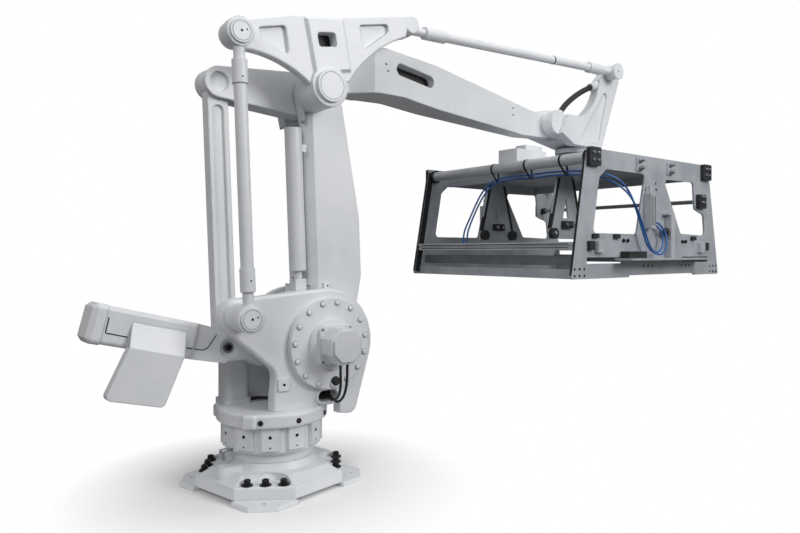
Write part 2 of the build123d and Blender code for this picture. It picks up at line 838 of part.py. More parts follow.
def make_rear_link_tube():
    """The rear link's tube between the two sleeves."""
    y = -plate_near - (rear_eye_thick + seat_gap) / 2
    return link_bar(rear_low_pin, rear_top_pin, y, rear_tube_r, rear_sleeve_start + rear_sleeve_length)


def make_front_link_end(pin, other, with_cap, gap):
    """One end of the front link; the wrist end carries a round cap."""
    near = -front_eye_near
    far = near + front_eye_thick - seat_gap
    sizes = (front_eye_r, front_pin_r, front_neck_r, front_sleeve_r, front_sleeve_start, front_sleeve_length)
    end = make_link_end(pin, other, near, far, sizes, gap)
    if with_cap:
        end += disc(pin, front_cap_r, near - front_cap_thick, near - seat_gap)
        end += disc(pin, front_cap_r, near - seat_gap, near)
        end -= disc(pin, front_pin_r + gap, near - seat_gap, near)
    return end


def make_front_link_tube():
    """The front link's tube between the two sleeves."""
    y = -front_eye_near + (front_eye_thick - seat_gap) / 2
    margin = front_sleeve_start + front_sleeve_length
    return link_bar(front_rear_pin, front_wrist_pin, y, front_tube_r, margin)


def fork_slot(pin, upwards):
    """The fan shaped room that the crank rod needs in a fork as it leans both ways."""
    places = []
    for side in (-1, 1):
        lean = math.radians(side * fork_angle)
        reach = Vector(math.sin(lean), 0, math.cos(lean)) * fork_reach
        places.append(pin + reach if upwards else pin - reach)
    fan = hull(*[spot(place, rod_width / 2 + fork_gap) for place in places], spot(pin, rod_eye_r + fork_gap))
    return between(fan, -crank_slot_half, crank_slot_half)


def make_crank_lever():
    """The lever on axis 2: a round hub, a forked eye for the rod and the root of the tail."""
    tail_root = crank_pin_place + Vector(-tail_start, 0, tail_start * math.tan(math.radians(tail_rise_angle)))
    shape = hull(spot(shoulder, crank_hub_r), spot(crank_pin_place, crank_eye_r))
    shape += hull(spot(crank_pin_place, crank_eye_r), spot(tail_root, tail_height / 2))
    shape -= spot(crank_pin_place + Vector(arch_ahead, 0, -arch_drop - arch_r), arch_r)
    lever = between(shape, -crank_half, crank_half)
    for face in (lever.faces().sort_by(Axis.Y)[0], lever.faces().sort_by(Axis.Y)[-1]):
        lever = fillet(face.edges(), radius=crank_round)
    lever -= fork_slot(crank_pin_place, True)
    lever -= disc(shoulder, shoulder_shaft_r + running_gap, -crank_half * 2, crank_half * 2)
    lever -= disc(crank_pin_place, crank_pin_r + running_gap, -crank_half * 2, crank_half * 2)
    lever -= disc(crank_pin_place, crank_recess_r, -crank_half - overrun, -crank_half + crank_recess_depth)
    lever -= tail_placed(block(-tail_length, 0, -crank_half * 2, crank_half * 2, -tail_height, tail_height))
    return lever


def tail_placed(solid):
    """Turn a piece drawn backwards along X into the tail's rising line."""
    root = crank_pin_place + Vector(-tail_start, 0, tail_start * math.tan(math.radians(tail_rise_angle)))
    return Pos(*root) * Rot(0, tail_rise_angle, 0) * solid


def make_crank_pin():
    """The pin in the lever's fork that the crank rod hangs on."""
    return disc(crank_pin_place, crank_pin_r, -crank_half + crank_recess_depth, crank_half)


def make_counterweight():
    """The long counterweight case behind the lever."""
    half = tail_height / 2
    case = Pos(-tail_length / 2, 0, 0) * Box(tail_length, 2 * tail_half, 2 * half)
    case = fillet(case.edges().filter_by(Axis.X), radius=tail_round)
    return tail_placed(case)


def make_counterweight_cap():
    """The slightly larger rounded cap that closes the tail."""
    size_y = 2 * (tail_half + tail_cap_extra)
    size_z = tail_height + 2 * tail_cap_extra
    cap = Pos(-tail_length - tail_cap_length / 2, 0, 0) * Box(tail_cap_length, size_y, size_z)
    cap = fillet(cap.edges().filter_by(Axis.X), radius=tail_round + tail_cap_extra)
    cap = chamfer(cap.faces().sort_by(Axis.X)[0].edges(), length=tail_round)
    return tail_placed(cap)


def make_counterweight_guard():
    """The bent sheet guard on the tail's near face: a sloping upper panel and a hanging tray."""
    face = -tail_half
    outer = face - guard_knee_out
    bend = [(face, guard_top), (outer, guard_knee), (outer + guard_thick, guard_knee)]
    bend += [(face, guard_top - 2 * guard_thick)]
    plane = Plane(origin=(-guard_left, 0, 0), x_dir=(0, 1, 0), z_dir=(1, 0, 0))
    guard = extrude(plane * make_face(Polyline(*bend, close=True)), amount=guard_left - guard_right)
    panel = outline([(-guard_right, guard_knee), (-guard_left, guard_knee), (-guard_left_low, guard_low),
                     (-guard_right_low, guard_low)])
    panel = fillet(panel.vertices().group_by(Axis.Y)[0], radius=guard_round)
    hood = between(panel, outer, outer + guard_flange)
    hood -= between(offset(panel, -guard_thick), outer + guard_thick, outer + guard_flange + overrun)
    return tail_placed(guard + hood)


def make_crank_rod():
    """The bar with I section that joins the crank lever to the upper arm's lever."""
    start = crank_pin_place
    end = lever_pin_place
    bar = between(hull(spot(start, rod_width / 2), spot(end, rod_width / 2)), -rod_half, rod_half)
    bar += disc(start, rod_eye_r, -rod_half, rod_half)
    bar += disc(end, rod_eye_r, -rod_half, rod_half)
    direction = (end - start).normalized()
    low = start + direction * rod_channel_margin
    high = end - direction * rod_channel_margin
    channel = hull(spot(low, rod_channel_width / 2), spot(high, rod_channel_width / 2))
    bar -= between(channel, -rod_half - overrun, -rod_half + rod_channel_depth)
    bar -= between(channel, rod_half - rod_channel_depth, rod_half + overrun)
    bar -= disc(start, crank_pin_r + running_gap, -rod_half * 2, rod_half * 2)
    bar -= disc(end, crank_pin_r + open_gap, -rod_half * 2, rod_half * 2)
    return bar


def make_upper_arm():
    """The tapered upper arm: hub and rear lever in the fork, a wide beam, a slim tip."""
    beam = from_elbow(upper_top_line) + [(wrist.X + upper_neck_top[0], wrist.Z + upper_neck_top[1])]
    beam += [(wrist.X, wrist.Z + upper_tip_r), (wrist.X, wrist.Z - upper_tip_r)]
    beam += [(wrist.X + upper_neck_low[0], wrist.Z + upper_neck_low[1])] + from_elbow(upper_belly_line)
    side = outline(beam) + spot(wrist, upper_tip_r)
    arm = between(side, -upper_beam_half, upper_beam_half)
    plan = [(elbow.X - upper_hub_r, -upper_hub_half), (elbow.X + upper_widen_start, -upper_hub_half)]
    plan += [(elbow.X + upper_widen_end, -upper_beam_half), (wrist.X - upper_tip_r, -upper_tip_half)]
    plan += [(wrist.X + upper_tip_r, -upper_tip_half)]
    plan += [(x, -y) for x, y in reversed(plan)]
    arm &= extrude(make_face(Polyline(*plan, close=True)), amount=wrist.Z * 2)
    lever = hull(spot(elbow, upper_hub_r), spot(lever_pin_place, upper_lever_r))
    arm += between(lever, -upper_hub_half, upper_hub_half)
    arm -= fork_slot(lever_pin_place, False)
    hole = Rot(0, 0, -upper_slot_slope) * SlotOverall(upper_slot_length, upper_slot_height)
    hole = Pos(elbow.X + upper_slot_ahead, elbow.Z + upper_slot_up) * hole
    arm -= between(hole, -upper_beam_half * 2, upper_beam_half * 2)
    arm -= disc(elbow, elbow_shaft_r + running_gap, -upper_beam_half, upper_beam_half)
    arm -= disc(wrist, wrist_pin_r + running_gap, -upper_beam_half, upper_beam_half)
    recess_floor = -upper_hub_half + crank_recess_depth
    arm += disc(lever_pin_place, crank_pin_r, recess_floor, upper_hub_half)
    arm -= disc(lever_pin_place, crank_recess_r, -upper_hub_half - overrun, recess_floor)
    return arm


def from_wrist(points):
    """Side view points given from the wrist."""
    return [(wrist.X + x, wrist.Z + z) for x, z in points]


def hose_collars():
    """The two collars that the wrist hose sits in: one on the near ear, one on the tilt arm."""
    angle = math.radians(hose_collar_angle)
    out = Vector(math.cos(angle), 0, math.sin(angle))
    root = wrist + out * hose_collar_in + Vector(0, hose_collar_y, 0)
    first = extrude(Plane(origin=root, z_dir=out) * Circle(hose_collar_r),
                    amount=hose_collar_out - hose_collar_in)
    angle = math.radians(hose_end_angle)
    back = Vector(-math.cos(angle), 0, -math.sin(angle))
    y = -tilt_arm_near + tilt_arm_thick / 2
    root = wrist + Vector(hose_end_place[0], y, hose_end_place[1])
    second = extrude(Plane(origin=root, z_dir=back) * Circle(hose_collar_r), amount=hose_end_length)
    return [first, second]


def make_tilt_housing():
    """The wrist housing: two ears on the upper arm's tip, a round foot and the arm up to the front link."""
    gap = upper_tip_half + seat_gap
    axis = Vector(wrist_axis_x, 0, 0)
    foot = Vector(wrist_axis_x, 0, tilt_foot_high + tilt_ear_r / 2)
    cheek = hull(spot(wrist, tilt_ear_r), spot(foot, tilt_ear_r / 2))
    corner = foot + Vector(tilt_arm_foot_ahead / 2, 0, 0)
    cheek += hull(spot(wrist, tilt_ear_r / 2), spot(corner, tilt_ear_r / 2), spot(foot, tilt_ear_r / 2))
    housing = between(cheek, -tilt_ear_near, tilt_ear_far)
    clear = wrist + Vector(upper_tip_r + overrun, 0, 0)
    housing -= block(wrist.X - upper_tip_r * 2, clear.X, -gap, gap, 0, wrist.Z * 2)
    housing -= block(0, wrist.X * 2, -grip_half_y, grip_half_y, 0, tilt_foot_low)
    housing += upright(tilt_disc_r, axis.X, 0, tilt_foot_low, tilt_foot_high)
    arm = make_face([Polyline(*from_wrist(tilt_boss_side)), ThreePointArc(*from_wrist(tilt_rear_arch)),
                     Polyline(*from_wrist(tilt_front_side))])
    arm += spot(front_wrist_pin, tilt_arm_top_r)
    arm_far = -tilt_arm_near + tilt_arm_thick
    housing += between(arm, -tilt_arm_near, arm_far)
    groove_top = Pos(*from_wrist([tilt_groove_top])[0]) * Circle(tilt_groove_top_r)
    groove_low = [Pos(*place) * Circle(tilt_groove_low_r) for place in from_wrist(tilt_groove_low)]
    housing -= between(hull(groove_top, *groove_low), -tilt_arm_near - overrun,
                       -tilt_arm_near + tilt_groove_depth)
    housing += disc(wrist, wrist_pin_r, -tilt_ear_near, tilt_ear_far)
    housing += disc(wrist, tilt_ear_r, -tilt_ear_near - tilt_cap_thick, -tilt_ear_near)
    housing += disc(front_wrist_pin, front_pin_r, -front_eye_near, -tilt_arm_near)
    housing += disc(front_wrist_pin, tilt_arm_top_r, -front_eye_near + front_eye_thick, -tilt_arm_near)
    for collar in hose_collars():
        housing += collar
    bore_top = tilt_foot_low + tool_spigot_depth + seat_gap
    housing -= upright(tool_spigot_r + running_gap, axis.X, 0, 0, bore_top)
    return housing


def make_tool_flange():
    """The turning flange under the wrist with its spigot."""
    high = tilt_foot_low - seat_gap
    flange = upright(tool_flange_r, wrist_axis_x, 0, tool_flange_low, high)
    flange += upright(tool_spigot_r, wrist_axis_x, 0, high, tilt_foot_low + tool_spigot_depth)
    return flange


def make_adapter():
    """The block between the turning flange and the gripper's top plate."""
    top = tool_flange_low
    x0 = wrist_axis_x - adapter_half_x
    x1 = wrist_axis_x + adapter_half_x
    body = block(x0, x1, -adapter_half_y, adapter_half_y, top - top_plate_thick, top)
    web = block(x0, x1, -top_rib_thick, top_rib_thick, top_plate_low + top_plate_thick, top - top_plate_thick)
    body += web
    cross = block(wrist_axis_x - top_rib_thick, wrist_axis_x + top_rib_thick, -adapter_half_y, adapter_half_y,
                  top_plate_low + top_plate_thick, top - top_plate_thick)
    return body + cross


def make_top_plate():
    """The gripper's deck with two upturned stiffening ribs."""
    x0 = grip_mid_x - deck_half_x
    x1 = grip_mid_x + deck_half_x
    plate = block(x0, x1, -deck_half_y, deck_half_y, top_plate_low, top_plate_low + top_plate_thick)
    for x in (x0, x1 - top_rib_thick):
        plate += block(x, x + top_rib_thick, -deck_half_y, deck_half_y,
                       top_plate_low - top_rib_height, top_plate_low)
    return plate


def plate_point(share):
    """A place on the end plate from shares of its lower length and its height."""
    x = grip_mid_x - grip_low_half + 2 * grip_low_half * share[0]
    return (x, grip_low + (grip_top - grip_low) * share[1])


def make_end_plate(side):
    """One upright end plate with its windows, slots and notched foot."""
    corners = [(grip_mid_x - grip_low_half, grip_low), (grip_mid_x + grip_low_half, grip_low)]
    corners += [(grip_mid_x + grip_top_half, grip_top), (grip_mid_x - grip_top_half, grip_top)]
    shape = rounded(corners, plate_corner_r)
    shape -= rounded([plate_point(share) for share in left_window_shares], window_corner_r)
    shape -= rounded([plate_point(share) for share in right_window_shares], window_corner_r)
    slot = [plate_point(share) for share in slot_window_shares]
    shape -= outline(slot)
    shape -= outline([(2 * grip_mid_x - x, z) for x, z in slot])
    notch_x = [plate_point((share, 0))[0] for share in plate_notch_shares]
    notch = [(notch_x[0], grip_low - overrun), (notch_x[1], grip_low - overrun)]
    notch += [(notch_x[1], grip_low + plate_notch_height), (notch_x[0], grip_low + plate_notch_height)]
    shape -= outline(notch)
    plate = between(shape, grip_half_y - end_plate_thick, grip_half_y)
    for place, radius in tube_places():
        hole = Pos(*place) * Circle(radius + seat_gap)
        plate -= between(hole, grip_half_y - end_plate_thick * 2, grip_half_y * 2)
    return plate if side > 0 else plate.mirror(Plane.XZ)


def tube_places():
    """Centre and radius of each round member that passes through the end plates."""
    z = grip_top - tube_drop
    left = (grip_mid_x - grip_top_half + tube_inset_x, z)
    right = (grip_mid_x + grip_top_half - tube_inset_x, z)
    return [(left, tube_r), (right, tube_r), ((cross_rod_x, cross_rod_z), cross_rod_r)]


def make_tube(index):
    """A round tube from plate to plate."""
    place, radius = tube_places()[index]
    end = grip_half_y + seat_gap
    tube = between(Pos(*place) * Circle(radius), -end, end)
    if radius > cross_rod_r:
        tube -= between(Pos(*place) * Circle(radius - tube_wall), -end - overrun, end + overrun)
    return tube


def make_tube_clamps(side):
    """The black clamp blocks on an end plate's outer face, one for each round member."""
    clamps = []
    for place, radius in tube_places():
        width = clamp_width if radius > cross_rod_r else rod_clamp_size
        height = clamp_height if radius > cross_rod_r else rod_clamp_size
        shape = Pos(*place) * RectangleRounded(width, height, clamp_round)
        near, far = sorted((side * (grip_half_y + seat_gap), side * (grip_half_y + clamp_thick)))
        clamps.append(between(shape, near, far))
    return clamps


def make_profile_rail(x):
    """An aluminium section with a slot along each of its four sides."""
    centre = (x, profile_z + profile_size / 2)
    section = Pos(*centre) * Rectangle(profile_size, profile_size)
    for turn in range(corner_count):
        angle = turn * 360 / corner_count
        offset = Vector(profile_size / 2 - profile_slot_depth / 2, 0).rotate(Axis.Z, angle)
        cut = Rot(0, 0, angle) * Rectangle(profile_slot_depth + overrun / corner_count, profile_slot)
        section -= Pos(centre[0] + offset.X, centre[1] + offset.Y) * cut
    end = grip_half_y - end_plate_thick - seat_gap
    return between(section, -end, end)


def make_low_rail(x):
    """A flat bar along the foot of the frame."""
    end = grip_half_y - end_plate_thick
    half = low_rail_width / 2
    return block(x - half, x + half, -end, end, grip_low, grip_low + low_rail_height)


def make_kick_plate(x):
    """A thin plate on edge between the end plates, above the foot bar."""
    end = grip_half_y - end_plate_thick
    return block(x - kick_plate_thick / 2, x + kick_plate_thick / 2, -end, end,
                 kick_plate_z, kick_plate_z + kick_plate_height)


def make_a_frame(y):
    """A hanging plate shaped like the letter A, open in the middle."""
    top = top_plate_low
    points = [(a_frame_x - a_frame_half_low, a_frame_low), (a_frame_x + a_frame_half_low, a_frame_low)]
    points += [(a_frame_x + a_frame_half_top, top), (a_frame_x - a_frame_half_top, top)]
    shape = outline(points)
    high = a_frame_low + (top - a_frame_low) * (1 - a_window_share)
    low = a_frame_low + (top - a_frame_low) * (1 - a_window_share) / 2
    shape -= outline([(a_frame_x - a_frame_half_top * a_window_share, low),
                      (a_frame_x + a_frame_half_top * a_window_share, low), (a_frame_x, high)])
    return between(shape, y - a_frame_thick / 2, y + a_frame_thick / 2)


def make_wheels():
    """The rollers at the feet of the hanging plates."""
    wheels = []
    for y in (-a_frame_y, a_frame_y):
        for side in (-1, 1):
            place = Vector(a_frame_x + side * (a_frame_half_low - wheel_r), 0, a_frame_low + wheel_r)
            start = y - a_frame_thick / 2 - wheel_thick
            wheels.append(disc(place, wheel_r, start, y - a_frame_thick / 2))
    return Compound(children=wheels)


def make_lift_cylinder(side):
    """The square lifting cylinder on an end plate's outer face."""
    face = grip_half_y
    half = cylinder_size / 2
    body = block(cylinder_x - half, cylinder_x + half, face, face + cylinder_size,
                 cylinder_low, cylinder_high)
    rod_top = cylinder_high + cylinder_size
    body += upright(cylinder_rod_r, cylinder_x, face + half, cylinder_high, rod_top)
    return body if side > 0 else body.mirror(Plane.XZ)


def make_guide_post(side):
    """The square guide beside the cylinder, standing on the tray."""
    face = grip_half_y
    half = guide_size / 2
    post = block(guide_x - half, guide_x + half, face, face + guide_size, tray_z + tray_thick, guide_high)
    post += block(guide_x - cylinder_size, guide_x + half, face, face + guide_size,
                  guide_high, guide_high + tray_thick)
    return post if side > 0 else post.mirror(Plane.XZ)


def make_tray(side):
    """The shelf on an end plate's outer face with its valve block."""
    face = grip_half_y
    tray = block(tray_low_x, tray_high_x, face, face + tray_depth, tray_z, tray_z + tray_thick)
    return tray if side > 0 else tray.mirror(Plane.XZ)


def make_valve_block(side):
    """The black valve block on the tray."""
    face = grip_half_y
    top = tray_z + tray_thick
    valve = block(tray_low_x + valve_depth, tray_low_x + valve_depth + valve_length, face + seat_gap,
                  face + valve_depth, top, top + valve_height)
    return valve if side > 0 else valve.mirror(Plane.XZ)


def make_deck_box():
    """The junction box on the gripper's deck."""
    low = top_plate_low + top_plate_thick
    high = low + box_height
    box = block(box_x, box_x + box_length, -box_width / 2, box_width / 2, low, high)
    box = fillet(box.edges().filter_by(Axis.Z), radius=clamp_round)
    top_x = box_x + box_top_ahead
    top = block(top_x, top_x + box_top_length, -box_width / corner_count, box_width / corner_count,
                high - clamp_round, high + box_top_height)
    return box + top


def make_cord(route, diameter):
    """A cable or hose: straight runs joined by arcs as large as the runs allow."""
    places = [Vector(*place) for place in route]
    runs = [after - before for before, after in zip(places, places[1:])]
    radii = []
    for before, after in zip(runs, runs[1:]):
        half_turn = math.radians(before.get_angle(after)) / 2
        radii.append(cord_arc_share * min(before.length, after.length) / math.tan(half_turn))
    print("arc radii", [round(radius) for radius in radii])
    path = FilletPolyline(*places, radius=radii)
    start = Plane(origin=places[0], z_dir=runs[0])
    tube = sweep(start * Circle(diameter / 2), path=path)
    print("length", round(path.length), "volume", round(tube.volume),
          "section times length", round(math.pi * diameter ** 2 / 4 * path.length))
    return tube


def save_all():
    """Write every node."""
    save("floor_plates", make_floor_plates())
    save("base_casting", make_base_casting())
    save("slewing_housing", make_slewing_housing())
    save("turret_bed", make_turret_bed())
    save("near_side_frame", make_side_frame(True))
    save("far_side_frame", make_side_frame(False))
    save("shoulder_shaft", make_shoulder_shaft())
    save("slewing_motor", make_slewing_motor())
    sides = (-1, 1)
    for name, side in zip(("near", "far"), sides):
        save("shoulder_flange_" + name, make_shoulder_flange(side))
        save("shoulder_motor_" + name, make_shoulder_motor(side))
        save("end_plate_" + name, make_end_plate(side))
        save("tube_clamps_" + name, Compound(children=make_tube_clamps(side)))
    save("lift_cylinders", Compound(children=[make_lift_cylinder(side) for side in sides]))
    save("guide_posts", Compound(children=[make_guide_post(side) for side in sides]))
    save("trays", Compound(children=[make_tray(side) for side in sides]))
    save("valve_blocks", Compound(children=[make_valve_block(side) for side in sides]))
    save("a_frames", Compound(children=[make_a_frame(side * a_frame_y) for side in sides]))
    save("lower_arm", make_lower_arm())
    save("elbow_shaft", make_elbow_shaft())
    save("balance_tube", make_balance_tube())
    save("balance_rod", make_balance_rod())
    save("link_plate", make_link_plate())
    save("elbow_cap", make_elbow_cap())
    save("rear_link_lower_end", make_rear_link_end(rear_low_pin, rear_top_pin, running_gap))
    save("rear_link_upper_end", make_rear_link_end(rear_top_pin, rear_low_pin, open_gap))
    save("rear_link_tube", make_rear_link_tube())
    save("crank_lever", make_crank_lever())
    save("crank_pin", make_crank_pin())
    save("counterweight", make_counterweight())
    save("counterweight_cap", make_counterweight_cap())
    save("counterweight_guard", make_counterweight_guard())
    save("crank_rod", make_crank_rod())
    save("upper_arm", make_upper_arm())
    save("front_link_rear_end", make_front_link_end(front_rear_pin, front_wrist_pin, False, running_gap))
    save("front_link_wrist_end", make_front_link_end(front_wrist_pin, front_rear_pin, True, open_gap))
    save("front_link_tube", make_front_link_tube())
    save("tilt_housing", make_tilt_housing())
    save("tool_flange", make_tool_flange())
    save("adapter", make_adapter())
    save("top_plate", make_top_plate())
    save("left_tube", make_tube(0))
    save("right_tube", make_tube(1))
    save("cross_rod", make_tube(2))
    left_low = grip_mid_x - grip_low_half + low_rail_height
    right_low = 2 * grip_mid_x - left_low
    rails = [make_profile_rail(profile_left_x), make_profile_rail(2 * grip_mid_x - profile_left_x)]
    save("profile_rails", Compound(children=rails))
    save("low_rails", Compound(children=[make_low_rail(left_low), make_low_rail(right_low)]))
    kicks = [make_kick_plate(left_low + low_rail_height), make_kick_plate(right_low - low_rail_height)]
    save("kick_plates", Compound(children=kicks))
    save("rollers", make_wheels())
    save("deck_box", make_deck_box())
    save("motor_cable_left", make_cord(motor_cable_left_route, motor_cable_d))
    save("motor_cable_right", make_cord(motor_cable_right_route, motor_cable_d))
    save("wrist_hose", make_cord([wrist + Vector(*place) for place in wrist_hose_route], wrist_hose_d))
    save("air_hose_left", make_cord(air_hose_left_route, air_hose_d))
    save("air_hose_right", make_cord(air_hose_right_route, air_hose_d))


save_all()
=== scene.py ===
# %% [markdown]
# # A palletising robot with a frame gripper
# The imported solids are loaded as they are, and every later cell adds finishes, cables, fasteners and
# fittings. Places and sizes are in millimetres in the part's own frame, and one factor turns them into
# Blender's metres. Only the camera, the floor and the lights are placed in metres.

# %% Load the solids
import bmesh
import bpy
import json
import math
import numpy as np
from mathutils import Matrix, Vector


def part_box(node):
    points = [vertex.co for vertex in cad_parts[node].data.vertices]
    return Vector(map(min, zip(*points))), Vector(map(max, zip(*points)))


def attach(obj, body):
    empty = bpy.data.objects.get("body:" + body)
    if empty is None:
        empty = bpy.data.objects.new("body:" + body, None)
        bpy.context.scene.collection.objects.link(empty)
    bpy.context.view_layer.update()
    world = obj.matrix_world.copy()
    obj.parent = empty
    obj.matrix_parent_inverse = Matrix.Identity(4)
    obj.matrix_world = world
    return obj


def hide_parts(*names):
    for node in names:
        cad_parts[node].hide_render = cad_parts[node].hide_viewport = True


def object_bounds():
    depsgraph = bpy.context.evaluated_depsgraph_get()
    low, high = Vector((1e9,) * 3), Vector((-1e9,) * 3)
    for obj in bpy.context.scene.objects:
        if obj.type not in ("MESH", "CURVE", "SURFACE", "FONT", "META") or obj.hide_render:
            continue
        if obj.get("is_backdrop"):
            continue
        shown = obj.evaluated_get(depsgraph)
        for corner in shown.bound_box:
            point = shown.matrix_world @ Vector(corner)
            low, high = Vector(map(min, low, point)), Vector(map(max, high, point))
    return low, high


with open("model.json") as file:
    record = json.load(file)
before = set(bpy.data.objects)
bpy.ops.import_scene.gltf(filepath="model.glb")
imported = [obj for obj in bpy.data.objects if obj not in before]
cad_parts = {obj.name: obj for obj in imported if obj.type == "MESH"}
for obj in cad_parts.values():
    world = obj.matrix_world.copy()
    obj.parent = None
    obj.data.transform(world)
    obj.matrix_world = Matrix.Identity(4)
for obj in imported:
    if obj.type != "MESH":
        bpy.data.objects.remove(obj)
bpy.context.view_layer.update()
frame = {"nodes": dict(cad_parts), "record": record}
MM = 0.001

# %% [markdown]
# ## Camera
# The machine is seen from low in front of its near shoulder, and its upright edges stay upright. A camera
# could be tipped and the picture straightened later. This one looks level and its lens is shifted a
# little, which keeps upright edges parallel by itself.

# %% Camera
CAMERA_PLACE = (-1.600, -3.039, 1.135)
VIEW_WAY = (0.6223, 0.7828)
SENSOR_WIDTH, FOCAL_LENGTH, LENS_SHIFT = 36, 30.375, -0.0181

camera = bpy.data.objects.new("camera", bpy.data.cameras.new("camera"))
bpy.context.scene.collection.objects.link(camera)
bpy.context.scene.camera = camera
camera.location = CAMERA_PLACE
camera.rotation_euler = (math.pi / 2, 0, -math.atan2(*VIEW_WAY))
camera.data.sensor_width = SENSOR_WIDTH
camera.data.lens = FOCAL_LENGTH
camera.data.shift_y = LENS_SHIFT
bpy.context.scene.view_settings.view_transform = "Standard"
print("camera", list(camera.location))

# %% [markdown]
# ## Shader helpers
# Colours are read off a screen, but shaders work in linear light, so one function turns a screen colour
# into linear light. Nodes could be wired by hand in the editor. One function that adds a node with its
# settings and links keeps the wiring readable in a script.

# %% Colour and shader helpers
def linear(code, alpha=1.0):
    """Linear red, green and blue of a hexadecimal colour: each share goes through the screen's curve."""
    share = np.array([int(code[i:i + 2], 16) for i in (1, 3, 5)]) / 255
    light = np.where(share <= 0.04045, share / 12.92, ((share + 0.055) / 1.055) ** 2.4)
    return (*light.tolist(), alpha)


def add(tree, kind, links=None, values=None, **settings):
    """Adds one shader node: settings are its choices, values its fixed sockets, links its wired sockets."""
    node = tree.nodes.new("ShaderNode" + kind)
    for key, value in settings.items():
        setattr(node, key, value)
    for key, value in (values or {}).items():
        node.inputs[key].default_value = value
    for key, socket in (links or {}).items():
        tree.links.new(socket, node.inputs[key])
    return node


print("white in linear light", linear("#FFFFFF"))

# %% [markdown]
# ## Finish builder
# Painted castings, ground shafts and milled plates all show the same four things: a cloudy colour, a fine
# grain, edges that have lost some of their finish, and a rounded edge that catches light. Each could have
# a shader of its own. One builder with sizes in real millimetres is chosen, so that the finishes differ
# only in their values.

# %% Finish builder
CLOUD_SPAN, EDGE_SPAN, CHIP_SPAN = (0.3, 0.62), (0.995, 0.8), (0.45, 0.62)
CLOUD_DETAIL = {"Detail": 4.0, "Roughness": 0.6}
GRAIN_DETAIL = {"Detail": 3.0, "Roughness": 0.55}
GLOSS_SPREAD, BUMP_STRENGTH, COAT_ROUGHNESS = 0.07, 0.35, 0.25


def span(limits):
    """The two input limits of a Map Range node."""
    return {"From Min": limits[0], "From Max": limits[1]}


def finish_of(name, colour, worn, dirt, rough, metal, grain_mm, cloud_mm, bump_mm, edge_mm, edge, coat=0.0):
    """A finish with cloudy colour, fine grain and worn edges; sizes are millimetres on the real surface."""
    material = bpy.data.materials.new(name)
    material.use_nodes = True
    tree = material.node_tree
    tree.nodes.clear()
    place = add(tree, "TexCoord").outputs["Object"]
    cloud = add(tree, "TexNoise", {"Vector": place}, {"Scale": 1 / (cloud_mm * MM), **CLOUD_DETAIL})
    grain = add(tree, "TexNoise", {"Vector": place}, {"Scale": 1 / (grain_mm * MM), **GRAIN_DETAIL})
    tint = add(tree, "ValToRGB", {"Fac": cloud.outputs["Fac"]})
    for stop, position, code in zip(tint.color_ramp.elements, CLOUD_SPAN, (dirt, colour)):
        stop.position = position
        stop.color = linear(code)
    bevel = add(tree, "Bevel", None, {"Radius": edge_mm * MM}, samples=4)
    normal = add(tree, "NewGeometry").outputs["Normal"]
    turn = add(tree, "VectorMath", {0: bevel.outputs["Normal"], 1: normal}, operation="DOT_PRODUCT")
    rim = add(tree, "MapRange", {"Value": turn.outputs["Value"]}, span(EDGE_SPAN))
    chip = add(tree, "MapRange", {"Value": grain.outputs["Fac"]}, span(CHIP_SPAN))
    bare = add(tree, "Math", {0: rim.outputs["Result"], 1: chip.outputs["Result"]}, operation="MULTIPLY")
    share = add(tree, "Math", {0: bare.outputs["Value"]}, {1: edge}, operation="MULTIPLY")
    mixed = add(tree, "Mix", {"Factor": share.outputs["Value"], "A": tint.outputs["Color"]},
                {"B": linear(worn)}, data_type="RGBA")
    gloss = add(tree, "MapRange", {"Value": cloud.outputs["Fac"]},
                {"To Min": rough - GLOSS_SPREAD, "To Max": rough + GLOSS_SPREAD})
    bump = add(tree, "Bump", {"Height": grain.outputs["Fac"], "Normal": bevel.outputs["Normal"]},
               {"Strength": BUMP_STRENGTH, "Distance": bump_mm * MM})
    shader = add(tree, "BsdfPrincipled",
                 {"Base Color": mixed.outputs["Result"], "Roughness": gloss.outputs["Result"],
                  "Normal": bump.outputs["Normal"]},
                 {"Metallic": metal, "Coat Weight": coat, "Coat Roughness": COAT_ROUGHNESS})
    add(tree, "OutputMaterial", {"Surface": shader.outputs["BSDF"]})
    return material


print("cloud, edge and chip spans", CLOUD_SPAN, EDGE_SPAN, CHIP_SPAN)

# %% [markdown]
# ## Paint and metal
# The castings are sprayed with white enamel, the motors with a greyer one. Shafts are ground steel, and
# the gripper is milled and drawn aluminium. Plain colours would look like plastic, so each has its own
# grain and cloud size. Tool marks finer than a millimetre can't show at this distance, so they are drawn
# about a millimetre wide.

# %% Paint and metal
# Satin white machine enamel, sprayed: a soft even sheen with fine orange peel and hardly any wear on the
# edges.
white_enamel = finish_of(
    "enamel_white_satin", colour="#E6E8EB", worn="#C4C6C8", dirt="#DCDFE3", rough=0.4, metal=0.0,
    grain_mm=3, cloud_mm=260, bump_mm=0.12, edge_mm=9, edge=0.2, coat=0.15)
# Light grey enamel on the motors, sprayed: the same sheen a little darker, which sets them off from the
# castings.
grey_enamel = finish_of(
    "enamel_grey_satin", colour="#DCDEE1", worn="#B0B2B5", dirt="#CFD2D6", rough=0.42, metal=0.0,
    grain_mm=3, cloud_mm=180, bump_mm=0.12, edge_mm=5, edge=0.25, coat=0.1)
# Ground steel of shafts, pins, rods and screws: clear grey reflections with bright edges.
ground_steel = finish_of(
    "steel_ground", colour="#A7AAAE", worn="#D5D7DA", dirt="#8E9297", rough=0.34, metal=0.9,
    grain_mm=1.6, cloud_mm=90, bump_mm=0.05, edge_mm=2, edge=0.6)
